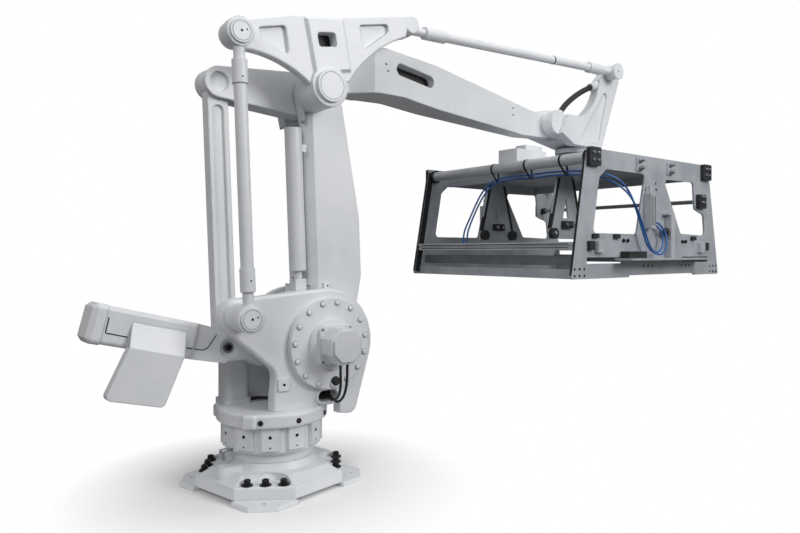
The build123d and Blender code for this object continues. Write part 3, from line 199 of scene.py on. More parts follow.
# Milled aluminium plate under its oxide film: a dull blue grey, more like paint than like a mirror.
milled_aluminium = finish_of(
    "aluminium_milled", colour="#BBC0C6", worn="#E8EAEC", dirt="#A7ACB3", rough=0.42, metal=0.3,
    grain_mm=1.2, cloud_mm=160, bump_mm=0.05, edge_mm=2, edge=0.6)
# Drawn aluminium of the round tubes and slotted rails: paler and smoother than the plates.
drawn_aluminium = finish_of(
    "aluminium_drawn", colour="#CDD0D4", worn="#F0F1F2", dirt="#BCC0C5", rough=0.3, metal=0.35,
    grain_mm=0.9, cloud_mm=220, bump_mm=0.03, edge_mm=2, edge=0.5)
# Rolled sheet behind the foot rails with its dark mill finish: a flat mid grey.
dark_sheet = finish_of(
    "aluminium_dark_sheet", colour="#7E838A", worn="#A4A8AD", dirt="#6F747B", rough=0.5, metal=0.3,
    grain_mm=1.2, cloud_mm=140, bump_mm=0.05, edge_mm=2, edge=0.4)
# Black oxide on steel screws, nearly black with grey edges, and painted shade in drilled holes and slots.
black_oxide_and_recess_shade = finish_of(
    "steel_dark_oxide_and_painted_recess_shade", colour="#191B1D", worn="#5A5C5E", dirt="#101214", rough=0.42, metal=0.4,
    grain_mm=0.8, cloud_mm=30, bump_mm=0.05, edge_mm=1.5, edge=0.6)
# Painted shade of the turned groove on the pivot caps: a thin grey ring on the white.
groove_shade = finish_of(
    "enamel_painted_groove_shade", colour="#7C8187", worn="#8B9096", dirt="#6C7177", rough=0.6, metal=0.0,
    grain_mm=2, cloud_mm=50, bump_mm=0.05, edge_mm=1, edge=0.2)
print("paint and metal", len(bpy.data.materials))

# %% [markdown]
# ## Plastics
# Clamps, rollers and valves are moulded, cables have a rubber sheath, and the air hoses are blue
# polyurethane. The same builder serves them, without metal and with a small grain.

# %% Plastics
# Moulded black polyamide of clamps, rollers and valves: charcoal with a dull sheen and grey rubbed edges.
black_moulding = finish_of(
    "polyamide_black", colour="#24272A", worn="#55585B", dirt="#191B1D", rough=0.5, metal=0.0,
    grain_mm=0.9, cloud_mm=60, bump_mm=0.06, edge_mm=2, edge=0.5)
# Rubber sheath of cables, the wrist hose and edge strips: deeper black with little shine. It is also the
# painted shade on the black backs behind openings.
black_rubber = finish_of(
    "rubber_sheath_and_painted_hollow_shade", colour="#17191B", worn="#303335", dirt="#0F1112", rough=0.55, metal=0.0,
    grain_mm=0.8, cloud_mm=40, bump_mm=0.05, edge_mm=1.5, edge=0.3)
# Extruded blue polyurethane air hose: a clear blue with a wet gloss.
blue_hose = finish_of(
    "polyurethane_blue", colour="#2F67AE", worn="#5C88BE", dirt="#265393", rough=0.35, metal=0.0,
    grain_mm=0.8, cloud_mm=60, bump_mm=0.03, edge_mm=1, edge=0.2, coat=0.2)
print("all finishes", len(bpy.data.materials))

# %% [markdown]
# ## Finishes on the solids
# The record names a material slot for every solid, and each slot has one finish. The tubes, rails,
# cylinders and posts are drawn stock, and the kick plates are dark sheet, so these take a finish of their
# own.

# %% Finishes on the solids
by_slot = {"white_paint": white_enamel, "motor_paint": grey_enamel, "steel": ground_steel,
           "plate_aluminium": milled_aluminium, "black_plastic": black_moulding, "black_rubber": black_rubber,
           "blue_hose": blue_hose}
by_node = dict.fromkeys(("left_tube", "right_tube", "profile_rails", "lift_cylinders", "guide_posts"),
                        drawn_aluminium)
by_node["kick_plates"] = dark_sheet
for entry in frame["record"]["subparts"]:
    solid = frame["nodes"][entry["node"]].data
    solid.materials.clear()
    solid.materials.append(by_node.get(entry["node"], by_slot[entry["material_slot"]]))


def dress(piece, material):
    """Gives a new piece its finish."""
    piece.data.materials.append(material)


# %% [markdown]
# ## Cables and hoses
# Two motor cables hang from the motor and go back through the cable slot, a hose joins the wrist's two
# collars, and two air hoses cross the gripper. A cord could be a swept mesh. A spline with a round bevel
# is chosen, because its route can still be moved, and it follows the same points as the solid it stands
# for.

# %% Motor cables and wrist hose
motor_left_route = [
    (183, -340, 599), (183, -340, 553), (186, -337, 506), (192, -321, 461), (199, -289, 426),
    (205, -246, 408), (208, -200, 416), (204, -156, 424), (190, -113, 420), (164, -76, 411),
    (130, -44, 402), (92, -13, 395), (50, 18, 392), (6, 64, 394), (-34, 84, 396), (-80, 84, 396)]
motor_right_route = [
    (222, -340, 599), (222, -340, 551), (220, -338, 502), (219, -325, 455), (219, -297, 419),
    (221, -258, 398), (225, -212, 402), (226, -165, 420), (214, -120, 433), (190, -79, 434),
    (160, -44, 424), (126, -12, 411), (90, 20, 400), (52, 54, 394), (10, 90, 392), (-34, 112, 396),
    (-80, 112, 396)]
wrist_route = [
    (2150.494, -90, 2094.436), (2185.847, -90, 2136.568), (2240, -99, 2186), (2301, -115, 2233),
    (2363.717, -134, 2272.482), (2428.153, -134, 2299.833)]


def cord(node, body, route, material, diameter, length):
    """A round cord: a spline of second degree pulled towards its route points and held at both ends."""
    curve = bpy.data.curves.new(node + "_line", "CURVE")
    curve.dimensions = "3D"
    curve.bevel_depth = diameter * MM / 2
    curve.bevel_resolution = 4
    curve.use_fill_caps = True
    spline = curve.splines.new("NURBS")
    spline.points.add(len(route) - 1)
    points = np.column_stack([np.array(route, float) * MM, np.ones(len(route))])
    spline.points.foreach_set("co", points.ravel())
    spline.order_u = 3
    spline.use_endpoint_u = True
    spline.resolution_u = 8
    line = bpy.data.objects.new(node + "_line", curve)
    bpy.context.scene.collection.objects.link(line)
    dress(line, material)
    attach(line, body)
    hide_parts(node)
    print(line.name, len(route), "points", length, "mm")


cord("motor_cable_left", "turret", motor_left_route, black_rubber, diameter=13, length=718)
cord("motor_cable_right", "turret", motor_right_route, black_rubber, diameter=13, length=770)
cord("wrist_hose", "wrist", wrist_route, black_rubber, diameter=39, length=353)

# %% [markdown]
# ## Air hoses
# The two hoses rise from the rail, run under the left tube and fall in a loop on the near end plate. They
# could share one route with an offset. Each has a route of its own instead, as real hoses never lie quite
# parallel, and the two stay clear of each other.

# %% Air hoses
air_left_route = [
    (1559, 250, 1193), (1559, 250, 1253), (1584, 245, 1313), (1614, 236, 1376), (1641, 222, 1444),
    (1664, 198, 1514), (1684, 155, 1577), (1697, 90, 1617), (1701, -55, 1627), (1698, -205, 1621),
    (1702, -355, 1626), (1703, -490, 1620), (1735, -575, 1618), (1800, -640, 1608), (1868, -692, 1588),
    (1940, -722, 1546), (2003, -731, 1483), (2053, -730, 1410), (2097, -729, 1334), (2136, -730, 1256),
    (2168, -733, 1186), (2212, -737, 1142), (2272, -739, 1128), (2328, -738, 1148), (2362, -733, 1196),
    (2360, -727, 1246), (2336, -720, 1284), (2299, -716, 1304), (2264, -716, 1304)]
air_right_route = [
    (1559, 215, 1193), (1559, 215, 1251), (1580, 211, 1309), (1607, 204, 1370), (1634, 191, 1436),
    (1660, 168, 1503), (1684, 128, 1564), (1706, 68, 1602), (1721, -60, 1610), (1719, -205, 1604),
    (1722, -350, 1608), (1724, -478, 1602), (1758, -558, 1600), (1822, -624, 1590), (1890, -682, 1556),
    (1955, -728, 1504), (2010, -747, 1440), (2062, -749, 1368), (2106, -748, 1296), (2146, -749, 1226),
    (2174, -753, 1170), (2216, -758, 1128), (2278, -761, 1116), (2338, -758, 1137), (2379, -750, 1186),
    (2384, -738, 1248), (2352, -726, 1300), (2308, -716, 1324), (2264, -716, 1324)]
cord("air_hose_left", "gripper", air_left_route, blue_hose, diameter=12, length=2272)
cord("air_hose_right", "gripper", air_right_route, blue_hose, diameter=12, length=2260)

# %% [markdown]
# ## Surfaces
# The real fasteners, blocks and strips are turned, sawn or cut from stock, so each is a plain surface.
# They could be modelled by hand or with modifiers. Here each is a grid of points worked out with numpy,
# because a formula is short to read and one grid can be copied to many places.

# %% Grids
def turned(profile, sides=28):
    """A turned surface: each profile point (radius, height) goes round in equal steps, so that a row of the
    grid is radius times cosine, radius times sine, height."""
    radius, height = np.array(profile, float).T
    angle = np.arange(sides) * 2 * math.pi / sides
    circle = np.stack([np.cos(angle), np.sin(angle)], axis=-1)
    flat = radius[:, None, None] * circle
    rise = np.broadcast_to(height[:, None, None], flat.shape[:2] + (1,))
    return np.concatenate([flat, rise], axis=-1)


def spun(points, angle):
    """Points of a plane turned about its origin: x becomes x cosine less y sine, y becomes x sine plus y
    cosine."""
    across, along = (math.cos(angle), math.sin(angle)), (-math.sin(angle), math.cos(angle))
    return np.array(points, float) @ [across, along]


def brick(width, height, thick, angle=0.0):
    """A block on a rectangle turned by an angle: its ring of corners below, and again above at the thickness,
    each closed by a row at the middle."""
    corners = spun(np.array([(-1, -1), (1, -1), (1, 1), (-1, 1)]) * (width / 2, height / 2), angle)
    rows = [(corners * 0, 0), (corners, 0), (corners, thick), (corners * 0, thick)]
    return np.stack([np.column_stack([flat, np.full(len(corners), rise)]) for flat, rise in rows])


def band(path, side, lift, width, thick, closed=False):
    """A strip along a path: at each point a section of four corners, half the width to each side and the
    thickness along the lift. The end rows shrink to the section's middle, or the first row comes again where
    it is closed."""
    path = np.array(path, float)
    corners = np.array([(-1, 0), (1, 0), (1, 1), (-1, 1)]) * (width / 2, thick)
    section = corners[:, None, :1] * np.array(side, float) + corners[:, None, 1:] * np.array(lift, float)
    rows = path[:, None] + np.broadcast_to(section, (4, len(path), 3)).swapaxes(0, 1)
    if closed:
        return np.concatenate([rows, rows[:1]])
    ends = [np.broadcast_to(rows[k].mean(axis=0), (1, 4, 3)) for k in (0, -1)]
    return np.concatenate([ends[0], rows, ends[1]])


print("a block's grid", brick(1, 1, 1).shape)

# %% [markdown]
# ## Setting grids on the solids
# A screw sits on the surface of its casting. Its place could be typed in full, but then it would float
# when the solid changes. So only two numbers are given, and a ray finds the surface. All copies of one
# fitting are one mesh.

# %% Places
NEAR, FAR, UP = np.array([(0, -1, 0), (0, 1, 0), (0, 0, 1)], float)
ALONG = np.array((1, 0, 0), float)
SIDES = (("near", NEAR), ("far", FAR))
RAY_REACH = 3000
STEEP = 0.9


def unit(vector):
    """A vector divided by its length."""
    return np.array(vector, float) / np.linalg.norm(vector)


def side_places(pairs):
    """Places in the machine's middle plane from pairs of length and height."""
    return [(x, 0, z) for x, z in pairs]


def placed(grid, places, out):
    """Copies of a grid: its third axis is turned to point out, its first lies level, and each has a place."""
    out = unit(out)
    across = unit(np.cross(UP if abs(out[2]) < STEEP else ALONG, out))
    axes = np.stack([across, np.cross(out, across), out])
    return [grid @ axes + place for place in np.array(places, float)]


def touch(node, places, out):
    """Where a straight line through each place, coming in from far out, first meets a solid."""
    out = np.array(out, float)
    met = []
    for place in np.array(places, float):
        start = (place + out * RAY_REACH) * MM
        hit, point, normal, face = frame["nodes"][node].ray_cast(start.tolist(), (-out).tolist())
        assert hit, (node, place.tolist())
        met.append(np.array(point) / MM)
    return met


def set_on(grid, node, places, out):
    """Copies of a grid that stand on a solid's surface and point out."""
    return placed(grid, touch(node, places, out), out)


print("rays start", RAY_REACH, "mm away")

# %% [markdown]
# ## One mesh for each fitting
# The grids of one fitting could be many objects. They are one mesh that rides on one body, which keeps
# the list of pieces short. Points that fall together are joined, so that poles and seams are closed.

# %% Fitting builder
WELD = 0.01
SHARP_EDGE = math.radians(35)


def fitting(name, grids, material, body):
    """One mesh of several grids: neighbouring points make quads, each grid closes round its columns, and
    points that fall together are joined."""
    points, quads, start = [], [], 0
    for grid in grids:
        index = start + np.arange(grid.shape[0] * grid.shape[1]).reshape(grid.shape[:2])
        after = np.roll(index, -1, axis=1)
        quads.append(np.stack([index[:-1], after[:-1], after[1:], index[1:]], axis=-1).reshape(-1, 4))
        points.append(grid.reshape(-1, 3) * MM)
        start += index.size
    mesh = bpy.data.meshes.new(name)
    mesh.from_pydata(np.concatenate(points).tolist(), [], np.concatenate(quads).tolist())
    shape = bmesh.new()
    shape.from_mesh(mesh)
    bmesh.ops.remove_doubles(shape, verts=shape.verts, dist=WELD * MM)
    bmesh.ops.recalc_face_normals(shape, faces=shape.faces)
    shape.to_mesh(mesh)
    shape.free()
    mesh.polygons.foreach_set("use_smooth", np.ones(len(mesh.polygons), bool))
    mesh.set_sharp_from_angle(angle=SHARP_EDGE)
    made = bpy.data.objects.new(name, mesh)
    bpy.context.scene.collection.objects.link(made)
    dress(made, material)
    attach(made, body)
    print(name, len(grids), "grids", len(mesh.polygons), "faces")


print("points within", WELD, "mm are joined")

# %% [markdown]
# ## Stock shapes
# Screws, plugs, rods, drilled holes and rings come back all over the machine. A hole could be cut into
# the solid, but the solids stay as they are, so a hole is a dark disc that stands a hair proud of the
# surface. The disc is painted shade: it stands for the shadow inside the hole.

# %% Stock shapes
HOLE_PROUD = 0.6


def rod(radius, length):
    """A turned rod: straight up at its radius, closed at both ends."""
    return turned([(0, length), (radius, length), (radius, 0), (0, 0)], sides=20)


def hole(radius):
    """Painted shade of a drilled hole: a dark rod at its mouth, as short as the disc is proud."""
    return rod(radius, HOLE_PROUD)


def button(radius, height, soft):
    """A turned button: a flat top, a rim cut off at half a right angle by the soft width, a straight side."""
    return turned([(0, height), (radius - soft, height), (radius, height - soft), (radius, 0), (0, 0)])


def screw(radius, height):
    """A socket screw: a round head with a soft rim and a sunk socket of half its radius."""
    socket, floor = radius * 0.5, height * 0.45
    rim, shoulder = radius * 0.86, height * 0.85
    return turned([(0, floor), (socket, floor), (socket, height), (rim, height), (radius, shoulder),
                   (radius, 0), (0, 0)], sides=20)


def ring(inner, outer, height):
    """A flat ring: its section is a rectangle between two radii."""
    return turned([(inner, 0), (inner, height), (outer, height), (outer, 0), (inner, 0)], sides=64)


print("a screw's grid", screw(1, 1).shape)

# %% [markdown]
# ## Base
# Three socket screws with washers hold each corner of the base. They could be set one by one. A row of
# three is turned four times instead, by the angle at which the base stands.

# %% Base screws
BASE_YAW = math.radians(11.8)
BOLT_REACH, BOLT_STEP, LAND_TOP = 316, 82, 78
WASHER_THICK = 5
HEAD_RADIUS, HEAD_TOP, HEAD_SOFT, SOCKET_RADIUS, SOCKET_FLOOR = 16, 27, 2, 8, 18

bolt_row = [(BOLT_REACH, step * BOLT_STEP) for step in (-1, 0, 1)]
corner_angles = [BASE_YAW + (2 * turn + 1) * math.pi / 4 for turn in range(4)]
bolt_places = [(*place, LAND_TOP) for angle in corner_angles for place in spun(bolt_row, angle)]
washer = button(radius=27, height=WASHER_THICK, soft=2)
head = turned([(0, SOCKET_FLOOR), (SOCKET_RADIUS, SOCKET_FLOOR), (SOCKET_RADIUS, HEAD_TOP),
               (HEAD_RADIUS - HEAD_SOFT, HEAD_TOP), (HEAD_RADIUS, HEAD_TOP - HEAD_SOFT),
               (HEAD_RADIUS, WASHER_THICK), (0, WASHER_THICK)])
fitting("base_bolts", placed(washer, bolt_places, UP) + placed(head, bolt_places, UP), black_oxide_and_recess_shade, "footing")

# %% [markdown]
# ## Drum and bed
# Each pad of the slewing drum is drilled twice, a steel air union stands out of the drum's left side, and
# rubber plugs close three holes of the bed. All are found by rays that come in level towards the turning
# axis.

# %% Drum holes, union and plugs
PADS = 12
PAD_HOLES = ((272, 8), (224, 4))
UNION_ANGLE, UNION_HEIGHT, STEM_REACH = -172, 200, 46
UNION_PROFILE = [(0, 62), (10, 62), (11, 60), (11, 34), (8, 32), (8, 8), (12, 8), (12, 0), (0, 0)]
PLUG_ANGLES, PLUG_HEIGHT = (-129, -91, -50), 346


def heading(degrees):
    """The level unit vector at an angle from the length axis: cosine, sine, zero."""
    return np.array((math.cos(math.radians(degrees)), math.sin(math.radians(degrees)), 0))


# The dark discs on the drum pads are painted shade of the drilled holes.
pad_holes = []
for pad in range(PADS):
    out = heading(360 * pad / PADS)
    for height, radius in PAD_HOLES:
        pad_holes += set_on(hole(radius), "slewing_housing", [(0, 0, height)], out)
fitting("drum_holes", pad_holes, black_oxide_and_recess_shade, "turret")

out = heading(UNION_ANGLE)
seat = touch("slewing_housing", [(0, 0, UNION_HEIGHT)], out)
stem = placed(rod(radius=6, length=44), [seat[0] + out * STEM_REACH], -UP)
fitting("air_union", placed(turned(UNION_PROFILE, sides=24), seat, out) + stem, ground_steel, "turret")

plug, plugs = button(radius=13, height=5, soft=3), []
for degrees in PLUG_ANGLES:
    plugs += set_on(plug, "turret_bed", [(0, 0, PLUG_HEIGHT)], heading(degrees))
fitting("bed_plugs", plugs, black_rubber, "turret")

# %% [markdown]
# ## Shoulder
# A circle of painted screws holds each gear flange, and four small screws hold each motor. The near
# flange also has a plugged socket, the cheek a pad with a threaded hole, and the lower arm a small
# drilled bracket.

# %% Flange and motor screws
SHOULDER = np.array((200, 0, 685))
FLANGE_CIRCLE, FLANGE_SCREWS, FIRST_SCREW = 203, 15, 1.4
MOTOR_SCREW_HALF = 78
FLANGE_SCREW_PROFILE = [(0, 9), (9, 9), (12, 7), (12, 2), (16, 2), (16, 0), (0, 0)]

angle = FIRST_SCREW + np.arange(FLANGE_SCREWS) * 2 * math.pi / FLANGE_SCREWS
circle = SHOULDER + FLANGE_CIRCLE * np.column_stack([np.cos(angle), np.zeros(FLANGE_SCREWS), np.sin(angle)])
corners = [SHOULDER + (sx * MOTOR_SCREW_HALF, 0, sz * MOTOR_SCREW_HALF) for sx in (-1, 1) for sz in (-1, 1)]
flange_screw = turned(FLANGE_SCREW_PROFILE, sides=24)
for side, out in SIDES:
    screws = set_on(flange_screw, "shoulder_flange_" + side, circle, out)
    fitting("flange_screws_" + side, screws, white_enamel, "turret")
    screws = set_on(screw(radius=7, height=6), "shoulder_motor_" + side, corners, out)
    fitting("motor_screws_" + side, screws, ground_steel, "turret")

# %% Socket, pad hole and bracket
SOCKET_PLACE, PAD_PLACE, BRACKET_PLACE = (222, 0, 500), (-46, 0, 508), (236, 0, 950)
BRACKET_THICK, BRACKET_HOLES = 12, (-16, 14)
SOCKET_PROFILE = [(0, 22), (15, 22), (18, 19), (18, 9), (23, 9), (23, 0), (0, 0)]

socket = set_on(turned(SOCKET_PROFILE), "shoulder_flange_near", [SOCKET_PLACE], NEAR)
fitting("flange_socket", socket, black_moulding, "turret")
# The dark disc in the cheek pad is painted shade of its threaded hole.
fitting("pad_hole", set_on(hole(radius=7), "near_side_frame", [PAD_PLACE], NEAR), black_oxide_and_recess_shade, "turret")
seat = touch("lower_arm", [BRACKET_PLACE], NEAR)
bracket = placed(brick(width=44, height=62, thick=BRACKET_THICK), seat, NEAR)
fitting("arm_bracket", bracket, white_enamel, "column")
# The dark discs in the bracket are painted shade of its drilled holes.
drilled = [seat[0] + NEAR * BRACKET_THICK + UP * rise for rise in BRACKET_HOLES]
fitting("arm_bracket_holes", placed(hole(radius=5), drilled, NEAR), black_oxide_and_recess_shade, "column")

# %% [markdown]
# ## Pivot caps
# The caps of the rear link and the elbow have a turned line near the rim, and the links' ends are
# drilled. The grey of each line is painted shade of its groove. The lines could be painted by a shader,
# but a thin ring stays sharp from close by. The front link has a dark clamp ring.

# %% Cap lines and holes
LOWER_PIN, UPPER_PIN, ELBOW = (-280, 842), (-330, 2086), (150, 1929)
LINE_WIDE, LINE_PROUD = 2.5, 0.5
LINED = (("rear_link_lower_end", "rear_bar", LOWER_PIN, 41),
         ("rear_link_upper_end", "rear_bar", UPPER_PIN, 41), ("elbow_cap", "leveller", ELBOW, 64))
DRILLED = (("rear_link_lower_end", [LOWER_PIN], 6), ("rear_link_upper_end", [UPPER_PIN], 6),
           ("rear_link_lower_end", [(-255, 850), (-286, 1010)], 4),
           ("rear_link_upper_end", [(-305, 2094), (-325, 1890)], 4))

# Each cap line is painted shade: a grey ring that stands for the shadow in the turned groove.
for node, body, centre, radius in LINED:
    line = ring(radius, radius + LINE_WIDE, LINE_PROUD)
    fitting(node + "_line", set_on(line, node, side_places([centre]), NEAR), groove_shade, body)
# The dark discs at the links' ends are painted shade of the drilled holes.
holes = []
for node, pairs, radius in DRILLED:
    holes += set_on(hole(radius), node, side_places(pairs), NEAR)
fitting("rear_link_holes", holes, black_oxide_and_recess_shade, "rear_bar")

# %% Front link, crank pin and beam
FRONT_PIN, CRANK_PIN = (2604, 2420), (-253, 685)
LINK_START, LINK_WAY, RING_SHARE = np.array((671, -205, 2335)), np.array((1933, 0, 85)), 0.648
BEAM_HOLES = ((627, 2158), (641, 2123), (1707, 2072), (1707, 2026))

# The dark disc at the front link's end is painted shade of its hole.
mouth = set_on(hole(radius=5), "front_link_wrist_end", side_places([FRONT_PIN]), NEAR)
fitting("front_link_hole", mouth, black_oxide_and_recess_shade, "front_bar")
clamp = placed(ring(inner=26.2, outer=27.6, height=9), [LINK_START + LINK_WAY * RING_SHARE], LINK_WAY)
fitting("front_link_ring", clamp, black_oxide_and_recess_shade, "front_bar")
bolt = set_on(screw(radius=15, height=9), "crank_pin", side_places([CRANK_PIN]), NEAR)
fitting("pin_bolt", bolt, black_oxide_and_recess_shade, "pivot_pin")
# The dark discs in the beam are painted shade of its holes.
fitting("beam_holes", set_on(hole(radius=6), "upper_arm", side_places(BEAM_HOLES), NEAR), black_oxide_and_recess_shade, "boom")

# %% [markdown]
# ## Counterweight
# A dark joint line shows where the cast case and the lever meet their cover. It could be a groove in the
# solid. A thin band that follows the surface gives the same line without a change to the solid.

# %% Counterweight lines
TAIL_LINES = (("counterweight", [(-796, 862), (-811, 800)]), ("counterweight", [(-812, 798), (-722, 773)]),
              ("counterweight", [(-468, 706), (-440, 699)]),
              ("crank_lever", [(-424, 694), (-384, 686), (-362, 694), (-318, 752)]))
JOINT_WIDE, JOINT_PROUD = 5, 0.6

lines = []
for node, pairs in TAIL_LINES:
    path = touch(node, side_places(pairs), NEAR)
    lines.append(band(path, np.cross(unit(path[-1] - path[0]), NEAR), NEAR, JOINT_WIDE, JOINT_PROUD))
fitting("tail_lines", lines, black_oxide_and_recess_shade, "crank")

# %% [markdown]
# ## Gripper plates
# Rubber strips and guards cover the left edges of the two end plates. Each is a straight band, because
# the real one is cut from strip. The strip lies on the edge, and the guard lies on the plate's inner
# face.

# %% Edge strips and guards
PLATE_MIDDLE, PLATE_THICK, EDGE_MARGIN = 684, 12, 22
STRIP_THICK, GUARD_WIDE, GUARD_THICK, GUARD_INSET = 6, 42, 5, 24
plate_edge = np.array([(1626, 0, 1735), (1485, 0, 981)], float)

run = unit(plate_edge[1] - plate_edge[0])
inward = np.cross(run, FAR)
ends = plate_edge + np.outer((1, -1), run * EDGE_MARGIN)
strips, guards = [], []
for side, out in SIDES:
    strips.append(band(ends + out * PLATE_MIDDLE, FAR, -inward, PLATE_THICK, STRIP_THICK))
    inner_face = out * (PLATE_MIDDLE - PLATE_THICK / 2)
    guards.append(band(ends + inner_face + inward * GUARD_INSET, inward, -out, GUARD_WIDE, GUARD_THICK))
fitting("edge_strips", strips, black_rubber, "gripper")
fitting("edge_guards", guards, black_rubber, "gripper")

# %% [markdown]
# ## Clamps and plate holes
# Four bright screws hold each clamp of the tubes and the rod. Drilled groups mark the plates' lower
# corners and middles, and two small plates carry tall screws. The places could be one long list. Columns
# and rows are given instead, because the real holes were drilled on a grid.

# %% Clamp screws and plate holes
LEFT_TUBE, RIGHT_TUBE, ROD_CLAMP = (1678, 1683), (2960, 1683), (2899, 1493)
CLAMPS = ((LEFT_TUBE, (22, 21)), (RIGHT_TUBE, (22, 21)), (ROD_CLAMP, (15, 19)))
CORNER_COLUMNS, CORNER_ROWS = (1516, 1560, 1604, 3037, 3080, 3122), (1000, 1038)
MIDDLE_COLUMNS, MIDDLE_ROW = (2209, 2258, 2307, 2660, 2706, 2752), 1047
HIGH_HOLES = [(2345, 1570), (2350, 1532)]
CARRIERS, CARRIER_WIDE, CARRIER_TALL, CARRIER_THICK = [(2155, 1676), (2505, 1676)], 64, 84, 9
STAND_STEP = 24
STAND_PROFILE = [(0, 30), (8, 30), (9, 28), (9, 18), (13, 18), (13, 8), (16, 8), (16, 0), (0, 0)]

clamp_screw = screw(radius=9, height=12)
clamp_pairs = [(x + sx * wide, z + sz * tall) for (x, z), (wide, tall) in CLAMPS
               for sz in (1, -1) for sx in (-1, 1)]
for side, out in SIDES:
    screws = set_on(clamp_screw, "tube_clamps_" + side, side_places(clamp_pairs), out)
    fitting("clamp_screws_" + side, screws, ground_steel, "gripper")

# The dark discs on the end plates are painted shade of the drilled holes.
hole_pairs = [(x, z) for x in CORNER_COLUMNS for z in CORNER_ROWS] + [(x, MIDDLE_ROW) for x in MIDDLE_COLUMNS]
stand_screw = turned(STAND_PROFILE, sides=20)
for side, out in SIDES:
    mouths = set_on(hole(radius=8), "end_plate_" + side, side_places(hole_pairs + HIGH_HOLES), out)
    fitting("plate_holes_" + side, mouths, black_oxide_and_recess_shade, "gripper")
    seats = touch("end_plate_" + side, side_places(CARRIERS), out)
    carriers = placed(brick(CARRIER_WIDE, CARRIER_TALL, CARRIER_THICK), seats, out)
    fitting("screw_plates_" + side, carriers, milled_aluminium, "gripper")
    stands = [seat + out * CARRIER_THICK + UP * rise for seat in seats for rise in (-STAND_STEP, STAND_STEP)]
    fitting("stand_screws_" + side, placed(stand_screw, stands, out), ground_steel, "gripper")

# %% [markdown]
# ## Dark backs
# The elbow casting's window, the beam's oval and the cable slot look into dark hollows. The hollows could
# be lit and shaded, but the solids are full inside, so each opening has a thin black back of painted shade.

# %% Panels behind the openings
SHADE_BACK_THICK = 2
SHADE_BACKS = (("window_hollow_shade", "leveller", (132, -242, 2148), (120, 84), 10.5),
         ("beam_hollow_shade", "boom", (847, -40, 2131), (300, 80), -8),
         ("cable_slot_shade", "turret", (198, -137, 425), (118, 62), 0))

# Each back is painted shade: a black sheet where the real opening shows only the shadow of its hollow.
for name, body, place, (wide, tall), degrees in SHADE_BACKS:
    back = brick(wide, tall, SHADE_BACK_THICK, math.radians(degrees))
    fitting(name, placed(back, [place], NEAR), black_rubber, body)

# %% [markdown]
# ## Hanging plates
# Two plates hang under the deck. Thick black strips edge their slopes, each has a black catch with two
# bolts, and bright screws hold the near rollers. One slope is measured and mirrored for the other.

# %% Hanging plates
HANG_MIDDLE, HANG_HALF = 1935, 300
SLOPE = np.array([(1760, 1219), (1865, 1617)], float)
SLOPE_MARGINS, SLOPE_INSET, SLOPE_WIDE, SLOPE_THICK = (70, 10), 14, 22, 20
CATCH_HEIGHT, CATCH_WIDE, CATCH_TALL, CATCH_THICK, CATCH_BOLTS = 1310, 96, 46, 26, (-26, 30)
ROLLER_RADIUS = 34

run = unit(SLOPE[1] - SLOPE[0])
slope_ends = (SLOPE[0] + run * SLOPE_MARGINS[0], SLOPE[1] - run * SLOPE_MARGINS[1])
strips = []
for y in (-HANG_HALF, HANG_HALF):
    for way in (-1, 1):
        out = np.array((way * run[1], 0, -run[0]))
        path = np.array([(HANG_MIDDLE + way * (HANG_MIDDLE - x), y, z) for x, z in slope_ends])
        strips.append(band(path - out * SLOPE_INSET, FAR, out, SLOPE_WIDE, SLOPE_THICK))
fitting("hanging_strips", strips, black_rubber, "gripper")

near_seat = touch("a_frames", [(HANG_MIDDLE, 0, CATCH_HEIGHT)], NEAR)[0]
seats = [near_seat, near_seat + FAR * 2 * HANG_HALF]
catches = placed(brick(CATCH_WIDE, CATCH_TALL, CATCH_THICK), seats, NEAR)
fitting("hanging_catches", catches, black_moulding, "gripper")
bolts = [seat + NEAR * CATCH_THICK + ALONG * step for seat in seats for step in CATCH_BOLTS]
fitting("catch_bolts", placed(screw(radius=12, height=14), bolts, NEAR), ground_steel, "gripper")

low, high = np.array(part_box("rollers")) / MM
roller_axis = (low[2] + high[2]) / 2
centres = [(x, roller_axis) for x in (low[0] + ROLLER_RADIUS, high[0] - ROLLER_RADIUS)]
screws = set_on(screw(radius=13, height=8), "rollers", side_places(centres), NEAR)
fitting("roller_screws", screws, ground_steel, "gripper")

# %% [markdown]
# ## Collars and straps
# Black collars stop the tubes and the cross rod at the end plates, and rubber straps hold the air hoses
# to the left tube. A strap could be drawn by hand, but a taut one always takes the shortest way round,
# and that is a formula.

# %% Collars and straps
COLLAR_STARTS, COLLAR_CLEAR, COLLAR_WALL, COLLAR_LONG = (-676, 654), 0.3, 12, 22
TUBE_REACH, HOSE_REACH, STRAP_WIDE, STRAP_THICK, STRAP_POINTS = 34.3, 6.3, 14, 2, 96
STRAPPED = ((-478, (1703, 1620), (1724, 1602)), (-205, (1698, 1621), (1719, 1604)),
            (75, (1697, 1618), (1708, 1602)))

collars = []
for node in ("left_tube", "right_tube", "cross_rod"):
    low, high = np.array(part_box(node)) / MM
    middle, radius = (low + high) / 2, (high[0] - low[0]) / 2
    collar = ring(radius + COLLAR_CLEAR, radius + COLLAR_WALL, COLLAR_LONG)
    collars += placed(collar, [(middle[0], y, middle[2]) for y in COLLAR_STARTS], FAR)
fitting("tube_collars", collars, black_moulding, "gripper")


